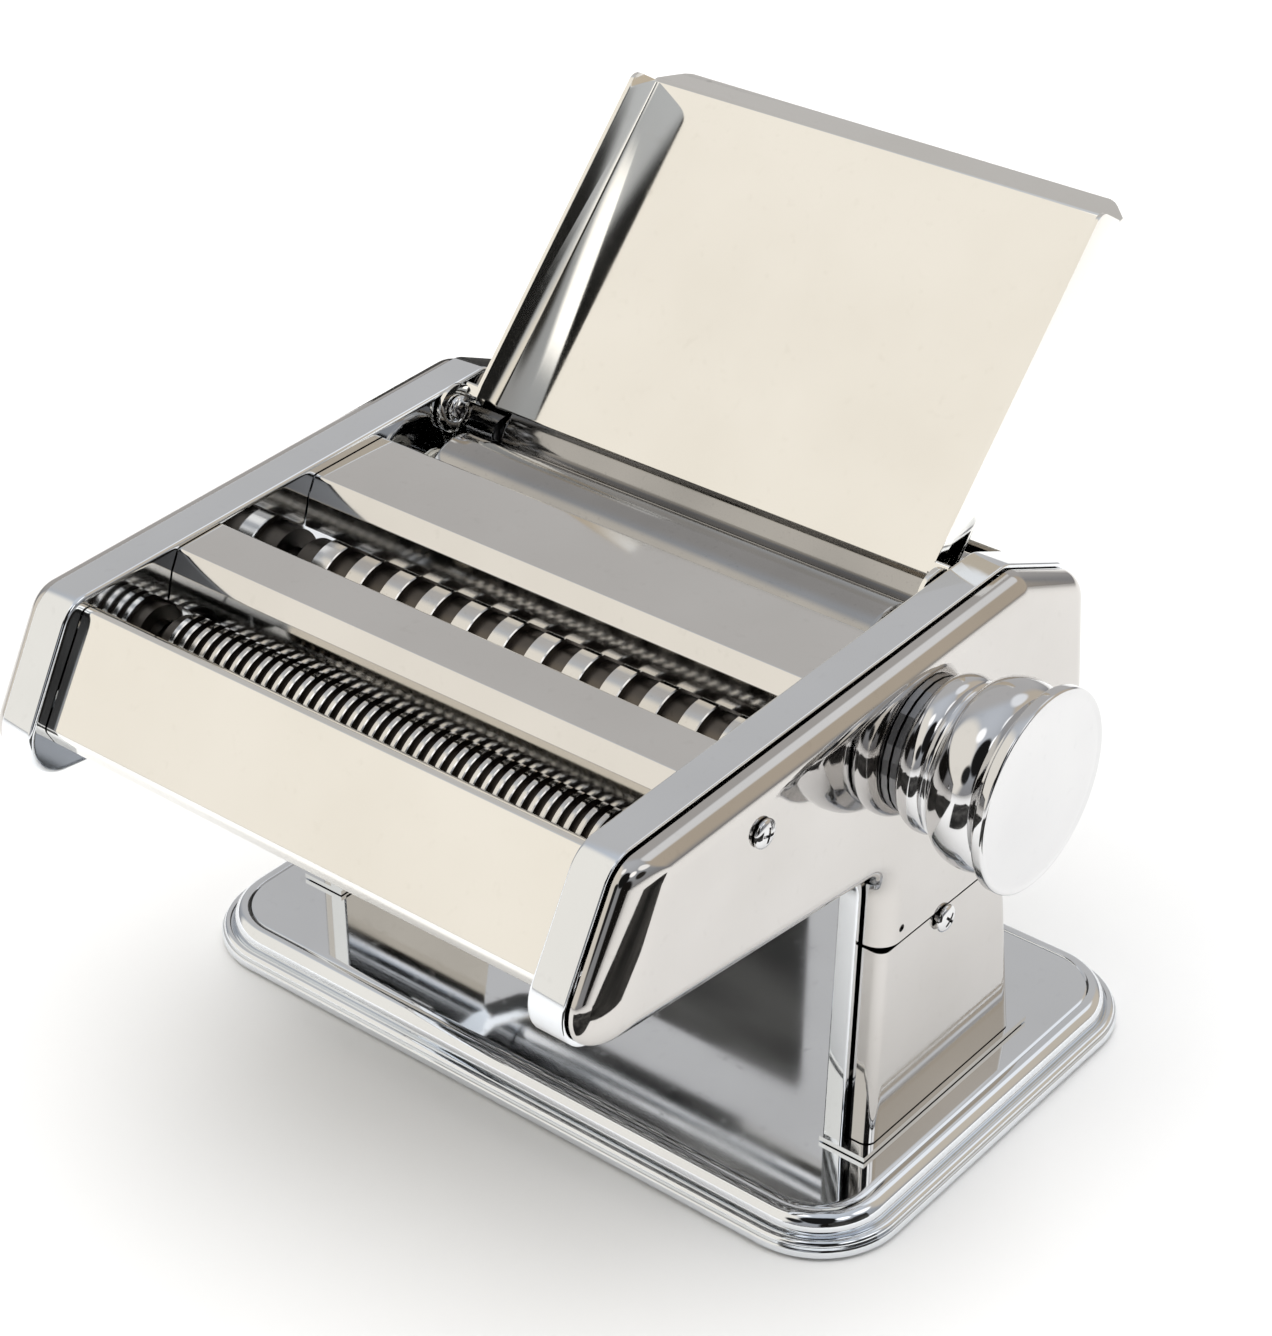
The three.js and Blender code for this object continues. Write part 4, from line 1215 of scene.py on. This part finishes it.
@dataclass
class Panels:
    """The bent sheets and the rods between the two ends."""

    half_width: float = 69.0
    sheet: float = 1.0
    bend: float = 1.3
    front: Sequence[Point] = (
        (-107.6, 121.6),
        (-109.0, 127.4),
        (-113.1, 129.8),
        (-127.2, 105.2),
        (-124.6, 100.6),
        (-113.0, 97.2),
    )
    guard: Sequence[Point] = ((37.0, 92.4), (45.2, 97.0), (41.8, 123.6), (33.4, 128.6))
    rod_radius: float = 3.5
    rod_edge: float = 0.4

    @staticmethod
    def _roof(rear: float, front: float, top: float, foot: float) -> list[Point]:
        """A roof's section, from its turned-down rear edge to the foot of its steep front.

        Args:
            rear: The top's rear edge.
            front: The top's front edge.
            top: The top's height.
            foot: The y of the front's foot.

        Returns:
            The bends of the outer face.
        """
        return [
            (rear + 1.2, top - 6.0),
            (rear, top),
            (front, top - 0.6),
            (front - 2.4, top - 5.4),
            (foot, top - 12.0),
        ]

    def build(self) -> None:
        """Makes every panel and rod."""
        sections = {
            "front_panel": (self.front, 2.0),
            "rear_guard": (self.guard, 2.4),
            "front_roof": (self._roof(-71.6, -85.3, 132.4, -89.4), self.bend),
            "rear_roof": (self._roof(-19.2, -42.4, 132.8, -46.6), self.bend),
        }
        for node, (path, bend) in sections.items():
            finish = ROOF_SHEET if node.endswith("roof") else WARM_SHEET
            outline = bent(path, self.sheet, bend)
            shell = Shell().prism(outline, -self.half_width, self.half_width)
            add_piece(f"{node}_sheet", shell, finish, "frame", [node])
        for node in ("front_tie_rod", "rear_tie_rod"):
            x0, x1 = DRAWING.span(node)
            r, e = self.rod_radius, self.rod_edge
            profile = [(x0, 0.0), (x0, r - e), (x0 + e, r), (x1 - e, r), (x1, r - e), (x1, 0.0)]
            shell = Shell().lathe(profile, *DRAWING.axis(node), 48)
            add_piece(f"{node}_bar", shell, PLAIN_CHROME, "frame", [node])


# ---- Rollers ----------------------------------------------------------------------------------------


@dataclass
class SmoothRoller:
    """One smooth roller with eased ends and two journals."""

    node: str
    body: str
    radius: float = 12.5
    half_length: float = 62.5
    edge: float = 1.1
    journal: float = 4.0
    journal_edge: float = 0.3

    def build(self) -> None:
        """Turns the roller."""
        x0, x1 = DRAWING.span(self.node)
        half, edge, journal, ease = self.half_length, self.edge, self.journal, self.journal_edge
        rise = arc((-half + edge, self.radius - edge), (edge, edge), 180, 90, 6)
        profile = [(x0, 0.0), (x0, journal - ease), (x0 + ease, journal), (-half, journal)]
        profile += rise + [(-x, r) for x, r in reversed(rise)]
        profile += [(half, journal), (x1 - ease, journal), (x1, journal - ease), (x1, 0.0)]
        shell = Shell().lathe(profile, *DRAWING.axis(self.node), 128)
        add_piece(f"{self.node}_barrel", shell, TURNED_STEEL, self.body, [self.node])


@dataclass
class CutterPair:
    """Two ringed rollers whose rings pass between each other's, and their combs."""

    name: str
    radius: float
    groove: float
    pitch: float
    ring: float
    sides: int
    half_length: float = 66.0
    journal: float = 4.0
    comb_sheet: float = 1.2
    comb_strip: float = 5.0
    comb_half_width: float = 69.0
    gap: float = 0.6
    # The share of the rings' height, above the core, that takes the painted groove shade.
    shade_share: float = 0.45

    def _count(self, place: str) -> int:
        """How many rings the front or rear roller has."""
        spaces = int((2 * self.half_length - self.ring - 1) // self.pitch)
        return spaces + 1 if place == "front" else spaces

    def build(self, rings: Pattern, fingers: Pattern) -> None:
        """Makes both rollers and both combs.

        Args:
            rings: The pattern of the rings.
            fingers: The pattern of the combs' fingers.
        """
        for place in ("front", "rear"):
            node = f"{self.name}_cutter_{place}"
            axis = DRAWING.axis(node)
            count = self._count(place)
            first = -(count - 1) / 2 * self.pitch
            self._roller(rings, node, f"{self.name}_{place}_set", count, first, axis)
            self._comb(fingers, place, count - 1, first + self.pitch / 2, axis)

    def _roller(
        self, rings: Pattern, node: str, body: str, count: int, first: float, axis: Point
    ) -> None:
        """One roller: its core and journals, and the rings on it.

        Args:
            rings: The pattern of the rings.
            node: The CAD node.
            body: The body it rides on.
            count: The number of rings.
            first: The first ring's x.
            axis: The roller's y and z.
        """
        x0, x1 = DRAWING.span(node)
        half, core, journal = self.half_length, self.groove, self.journal
        profile = [(x0, 0.0), (x0, journal), (-half, journal), (-half, core)]
        profile += [(half, core), (half, journal), (x1, journal), (x1, 0.0)]
        shell = Shell().lathe(profile, *axis, self.sides)
        grown = rings.grown(
            {
                "Count": count,
                "Sides": self.sides,
                "Pitch": self.pitch,
                "Width": self.ring,
                "Height": self.radius - core + self.gap,
                "Radius": self.radius,
                "Edge": min(0.25, self.ring * 0.16),
                "Finish": STOCK.of(CUTTER_STEEL),
            }
        ).moved(Matrix.Translation((first, *axis)))
        shell.absorb(grown)
        # Faces near the axis take the near-black finish: painted shade in the grooves between the rings.
        dark = (PAINTED_GROOVE_SHADE, core + self.shade_share * (self.radius - core))
        add_piece(f"{node}_rings", shell, CUTTER_STEEL, body, [node], groove=dark)

    def _comb(self, fingers: Pattern, place: str, count: int, first: float, axis: Point) -> None:
        """One comb: a strip across the machine and a finger into each groove.

        Args:
            fingers: The pattern of the fingers.
            place: Front or rear.
            count: The number of fingers.
            first: The first finger's x.
            axis: The roller's y and z.
        """
        y, z = axis
        half, half_width = self.comb_sheet / 2, self.comb_half_width
        top = z - self.radius - self.gap
        foot = top - self.comb_strip + self.gap
        shell = Shell().block((-half_width, y - half, foot), (half_width, y + half, top))
        width = self.pitch - self.ring - self.gap
        height = self.radius - self.groove + self.gap
        grown = fingers.grown(
            {
                "Count": count,
                "Pitch": self.pitch,
                "Size": (width, self.comb_sheet - 0.1, height),
                "Finish": STOCK.of(WARM_SHEET),
            }
        ).moved(Matrix.Translation((first, y, top + height / 2 - 0.5)))
        shell.absorb(grown)
        add_piece(f"{self.name}_{place}_comb", shell, WARM_SHEET, "frame", [f"{self.name}_comb_{place}"])


# ---- Knob -------------------------------------------------------------------------------------------


@dataclass
class ThicknessKnob:
    """The knob: a collar bead, a waist and a large bead, closed by a wide shallow cap."""

    collar: float = 17.85
    waist: float = 16.4
    bead: float = 21.35
    cap: float = 22.9
    bore: float = 3.3
    room: float = 7.2
    floor: float = 6.0
    cap_back_edge: float = 0.9
    cap_front_edge: float = 0.7
    dome_height: float = 0.7
    dome_radius: float = 21.0
    faces: int = 160

    def build(self) -> None:
        """Turns the knob, whose beads are placed by shares of its length, and its cap."""
        axis = DRAWING.axis("knob_body")
        x0, x1 = DRAWING.span("knob_body")
        long = x1 - x0
        first = arc((x0 + 0.15 * long, self.collar - 2.4), (0.15 * long, 2.4), 180, 20, 14)
        waist = arc((x0 + 0.345 * long, self.waist + 1.5), (0.055 * long, 1.5), 200, 320, 10)
        second = arc((x0 + 0.68 * long, self.bead - 3.6), (0.27 * long, 3.6), 158, 22, 22)
        profile = [(x0, self.bore), (x0, self.collar - 2.6)] + first + waist + second
        profile += [(x1 - 0.3, self.bead - 2.1), (x1, self.bead - 2.3), (x1, self.room)]
        profile += [(x0 + self.floor, self.room), (x0 + self.floor, self.bore)]
        shell = Shell().lathe(profile, *axis, self.faces)
        add_piece("knob_turned_body", shell, PLAIN_CHROME, "knob", ["knob_body"], sharp=38)
        c0, c1 = DRAWING.span("knob_cap")
        flat, back, front = c1 - 0.5, self.cap_back_edge, self.cap_front_edge
        rim = arc((c0 + back, self.cap - back), (back, back), 180, 90, 6)
        lip = arc((flat - front, self.cap - front), (front, front), 90, 0, 6)
        dome = [(flat - 0.25, self.cap - 1.5), (flat - 0.25, self.cap - 1.9)]
        for r in (20.6, 19, 16, 12, 8, 4, 0.0):
            rise = self.dome_height * (1 - (r / self.dome_radius) ** 2)
            dome.append((flat - 0.2 + rise, r))
        shell = Shell().lathe([(c0, 0.0)] + rim + lip + dome, *axis, self.faces)
        add_piece("knob_face_cap", shell, PLAIN_CHROME, "knob", ["knob_cap"], sharp=38)


# ---- Feed plate -------------------------------------------------------------------------------------


@dataclass
class FeedTray:
    """The feed plate: a mirror sheet with side walls, hinge tabs and a top lip bent back."""

    half_width: float = 65.2
    sheet: float = 1.0
    foot: Point = (14.6, 128.7)
    top: Point = (75.1, 193.0)
    wall: float = 9.0
    lip: float = 6.6
    lip_corner: float = 6.0
    lip_slope: float = 10.0
    tab_face: float = 68.7
    tab_radius: float = 6.0
    screw_hole: float = 1.9
    bend: float = 1.6
    edge: float = 0.22

    def build(self) -> None:
        """Makes the plate in one piece."""
        foot, top = Vector(self.foot), Vector(self.top)
        along = (top - foot).normalized()
        out = Vector((-along.y, along.x))
        w, t = self.half_width, self.sheet
        slope = math.radians(self.lip_slope)
        lip_way = Vector((math.cos(slope), math.sin(slope)))
        shell = self._sheet(foot, top, along, lip_way)
        strip = [
            (*foot, 0.5),
            (*top, 0.5),
            (*(top - along * 2 + out * self.wall), 3.0),
            (*(foot + out * self.wall), 2.0),
        ]
        pivot = Vector(DRAWING.axis("feed_plate_screw_left"))
        corners = ((3.2, 2.6), (5.0, -0.5), (8.0, 2.5), (5.2, 4.9))
        step = [(*(pivot + Vector(corner)), 0.5) for corner in corners]
        tools = []
        face = self.tab_face
        for side in Side:
            wall = Shell().prism(rounded(strip, 0, 6), w - t, w)
            ear = Shell().prism(rounded(step, 0, 3), w - t, face)
            disc = Shell().bar(face - t, face, self.tab_radius, pivot, 48)
            shell = shell.worked(Cut.JOIN, *(part.mirrored(side) for part in (wall, ear, disc)))
            drill = Shell().bar(face - BEYOND, face + BEHIND, self.screw_hole, pivot, 32)
            tools.append(drill.mirrored(side))
        shell = shell.worked(Cut.TAKE_AWAY, *tools)
        add_piece("feed_plate_sheet", shell, WARM_SHEET, "feed_tray", ["feed_plate"], edge=self.edge)

    def _sheet(self, foot: Vector, top: Vector, along: Vector, lip_way: Vector) -> Shell:
        """The flat of the plate and its lip, as one bent sheet whose far corners are cut.

        Args:
            foot: The plate's lower edge.
            top: The bend at its upper edge.
            along: The way up the plate.
            lip_way: The way out along the lip.

        Returns:
            The shell.
        """
        turn = math.atan2(along.cross(lip_way), along.dot(lip_way))
        radius = self.bend
        reach = radius * math.tan(abs(turn) / 2)
        left = Vector((-along.y, along.x))
        middle = top - along * reach - left * radius
        stations = [(foot, left, 0.0), (foot + along * 0.3, left, 0.0)]
        for k in range(9):
            turned = Matrix.Rotation(turn * k / 8, 2) @ left
            stations.append((middle + turned * radius, turned, 0.0))
        lip_left = Matrix.Rotation(turn, 2) @ left
        start = top + lip_way * reach
        for share in (0.1, 0.4, 0.7, 0.88, 0.97, 1.0):
            rounding = max(0.0, share - 0.8) ** 2 * 30
            narrowing = self.lip_corner * max(0.0, share - 0.1) + rounding
            stations.append((start + lip_way * ((self.lip - reach) * share), lip_left, narrowing))
        loops = []
        for at, normal, narrow in stations:
            w = self.half_width - narrow
            back = at - normal * self.sheet
            loops.append([Vector((x, *p)) for x, p in ((-w, at), (w, at), (w, back), (-w, back))])
        return Shell().loft(loops)


# ---- Inner works ------------------------------------------------------------------------------------


@dataclass
class InnerWorks:
    """The CAD pieces that keep their shape: gears, sockets, bushes, feet, scrapers and the adjuster."""

    finishes: dict[str, Polish | Moulding] = field(
        default_factory=lambda: {
            "gear_steel": SATIN_STEEL,
            "nylon": NYLON,
            "rubber": RUBBER,
            "warm_steel": WARM_SHEET,
            "chrome": MIRROR,
            "roller_steel": TURNED_STEEL,
        }
    )

    def build(self) -> None:
        """Gives every CAD piece still shown its finish."""
        slots = {s["node"]: s["material_slot"] for s in frame["record"]["subparts"]}
        for name, node in frame["nodes"].items():
            if node.hide_render:
                continue
            for place in node.material_slots:
                place.material = STOCK.of(self.finishes[slots[name]])
            LOG.info("%s: kept from the frame", name)


# ---- Studio -----------------------------------------------------------------------------------------


@dataclass(frozen=True)
class Patch:
    """A patch of the room: where it lies, how far it spreads in degrees, and its colour."""

    azimuth: float
    elevation: float
    full: float
    end: float
    colour: Colour


def outward(azimuth: float, elevation: float) -> Vector:
    """The direction at an azimuth from the front towards the right, and an elevation, in degrees."""
    a, e = math.radians(azimuth), math.radians(elevation)
    return Vector((math.sin(a) * math.cos(e), -math.cos(a) * math.cos(e), math.sin(e)))


@dataclass
class Studio:
    """A pale floor, soft light, a room for the metal to mirror, and the camera."""

    azimuth: float = 38.394
    elevation: float = 31.746
    roll: float = 0.666
    distance: float = 778.7
    focal: float = 3161.3
    view_height: float = 1336.0
    shift_right: float = 25.86
    shift_down: float = 302.93
    sensor: float = 36.0
    nearest: float = 0.01
    floor_size: float = 14.0
    floor_drop: float = 0.0002
    cloths: dict[str, tuple[Corner, Corner]] = field(
        default_factory=lambda: {
            "rear_cloth": ((-280.0, 150.0, 40.0), (-62.0, 153.0, 182.0)),
            "floor_cloth": ((70.0, -620.0, 0.0), (430.0, -165.0, 1.0)),
            "right_cloth": ((235.0, -170.0, 0.0), (237.0, -10.0, 75.0)),
        }
    )
    room: Sequence[Patch] = (
        Patch(218, 30, 26, 48, (0.53, 0.52, 0.515)),
        Patch(150, 26, 20, 34, (0.60, 0.53, 0.44)),
        Patch(165, 48, 9, 16, (0.95, 0.97, 1.0)),
        Patch(-38, 26, 37, 50, (0.95, 0.905, 0.825)),
        Patch(8, 22, 8, 13, (0.02, 0.02, 0.02)),
        Patch(40, 39, 19, 24, (0.012, 0.012, 0.012)),
        Patch(58, 8, 15, 21, (0.012, 0.011, 0.010)),
        Patch(92, 20, 7, 11, (0.03, 0.028, 0.025)),
        Patch(76, 40, 6, 10, (1.6, 1.6, 1.6)),
        Patch(0, 68, 6, 11, (1.4, 1.4, 1.4)),
        Patch(108, 42, 8, 13, (1.3, 1.3, 1.3)),
    )
    boxes: Sequence[tuple[str, float, float, float, float, float]] = (
        ("front_box", -42, 48, 1.9, 1.5, 11.0),
        ("top_box", 20, 84, 2.0, 1.8, 19.0),
        ("right_box", 105, 42, 1.9, 1.4, 9.0),
        ("rear_box", 200, 48, 1.9, 1.4, 9.0),
    )

    def build(self) -> None:
        """Sets up floor, world, lights and camera."""
        bpy.context.scene.view_settings.view_transform = "Standard"
        self._floor()
        self._world()
        self._lights()
        self._cloths()
        self._camera()

    def _floor(self) -> None:
        """A wide pale floor with a faint mottle."""
        half = self.floor_size / 2
        corners = [(-half, -half, 0), (half, -half, 0), (half, half, 0), (-half, half, 0)]
        mesh = bpy.data.meshes.new("floor")
        mesh.from_pydata(corners, [], [(0, 1, 2, 3)])
        floor = bpy.data.objects.new("floor", mesh)
        floor.location.z = CAD_BOX[0].z - self.floor_drop
        bpy.context.scene.collection.objects.link(floor)
        surface = Surface("pale_floor")
        tone = surface.blend(surface.noise(3.0), (0.90, 0.90, 0.895), (0.87, 0.87, 0.865))
        surface.set(Base_Color=tone, Roughness=0.8)
        mesh.materials.append(surface.material)

    def _world(self) -> None:
        """The room: greyer towards the horizon, with its patches laid over it in order."""
        world = bpy.data.worlds.new("studio")
        bpy.context.scene.world = world
        world.use_nodes = True
        graph = Graph(world.node_tree)
        graph.tree.nodes.clear()
        place = graph.add("ShaderNodeTexCoord", {}, {}, "Generated")
        height = graph.add("ShaderNodeSeparateXYZ", {}, {"Vector": place}, "Z")
        sky = [(0.0, (0.30, 0.30, 0.31)), (0.5, (0.40, 0.42, 0.45)), (1.0, (0.62, 0.65, 0.70))]
        colour = graph.add("ShaderNodeValToRGB", {"stops": sky}, {"Fac": height}, "Color")
        for patch in self.room:
            ways = {0: place, 1: tuple(outward(patch.azimuth, patch.elevation))}
            facing = graph.add("ShaderNodeVectorMath", {"operation": "DOT_PRODUCT"}, ways, "Value")
            edge, full = (math.cos(math.radians(angle)) for angle in (patch.end, patch.full))
            colour = graph.blend(graph.band(facing, edge, full, "SMOOTHSTEP"), colour, patch.colour)
        light = graph.add("ShaderNodeBackground", {}, {"Color": colour, "Strength": 1.0})
        graph.node("ShaderNodeOutputWorld", {}, {"Surface": light})

    def _lights(self) -> None:
        """Large soft boxes, each with two angles, distance, size and watts, that no mirror shows."""
        middle = DRAWING.at(0, -40, 90)
        for name, azimuth, elevation, distance, size, watts in self.boxes:
            data = bpy.data.lights.new(name, "AREA")
            data.shape = "SQUARE"
            data.size = size
            data.energy = watts
            light = bpy.data.objects.new(name, data)
            light.visible_glossy = False
            back = outward(azimuth, elevation)
            light.location = middle + back * distance
            light.rotation_mode = "QUATERNION"
            light.rotation_quaternion = (-back).to_track_quat("-Z", "Y")
            bpy.context.scene.collection.objects.link(light)

    def _cloths(self) -> None:
        """Dark cloths that only the metal mirrors: behind, in front on the floor, and at the right."""
        surface = Surface("dark_cloth")
        # Lighter streaks up the flat dark cards: painted shade and sheen of cloth folds.
        painted_fold_shade = surface.band(surface.noise(9.0, (1.0, 1.0, 3.0)), 0.42, 0.7)
        colour = surface.blend(painted_fold_shade, (0.006, 0.006, 0.006), (0.07, 0.068, 0.065))
        surface.set(Base_Color=colour, Roughness=0.9)
        for name, (low, high) in self.cloths.items():
            card = Shell().block(low, high).plain_object(name)
            card.data.transform(DRAWING.to_frame)
            card.data.materials.append(surface.material)
            card.visible_camera = card.visible_diffuse = card.visible_shadow = False

    def _camera(self) -> None:
        """The camera, from its angles and its distance to the base plate's middle."""
        a, roll = math.radians(self.azimuth), math.radians(self.roll)
        back = outward(self.azimuth, self.elevation)
        level = Vector((math.cos(a), math.sin(a), 0.0))
        rise = back.cross(level)
        right = level * math.cos(roll) + rise * math.sin(roll)
        up = rise * math.cos(roll) - level * math.sin(roll)
        scale = self.distance / self.focal
        place = back * self.distance - right * (self.shift_right * scale) + up * (self.shift_down * scale)
        data = bpy.data.cameras.new("camera")
        data.sensor_width = self.sensor
        data.lens = self.focal / self.view_height * data.sensor_width
        data.clip_start = self.nearest
        camera = bpy.data.objects.new("camera", data)
        turn = Matrix((right, up, back)).transposed()
        camera.matrix_world = Matrix.Translation(DRAWING.at(*place)) @ turn.to_4x4()
        bpy.context.scene.collection.objects.link(camera)
        bpy.context.scene.camera = camera


def main() -> None:
    """Builds the machine, sub-assembly by sub-assembly, then the studio."""
    logging.basicConfig(level=logging.INFO, format="%(message)s")
    Base().build()
    for side in Side:
        EndFrame(side).build()
        EndCovers(side).build()
    Panels().build()
    for roller in ("front_roller", "rear_roller"):
        SmoothRoller(roller, f"{roller}_set").build()
    rings, fingers = ring_pattern(), finger_pattern()
    CutterPair("wide", radius=10.4, groove=8.4, pitch=10.5, ring=4.95, sides=64).build(rings, fingers)
    CutterPair("narrow", radius=9.0, groove=7.4, pitch=3.1, ring=1.35, sides=48).build(rings, fingers)
    for part in (ThicknessKnob(), FeedTray(), Fasteners(), InnerWorks(), Studio()):
        part.build()


if __name__ == "__main__":
    main()
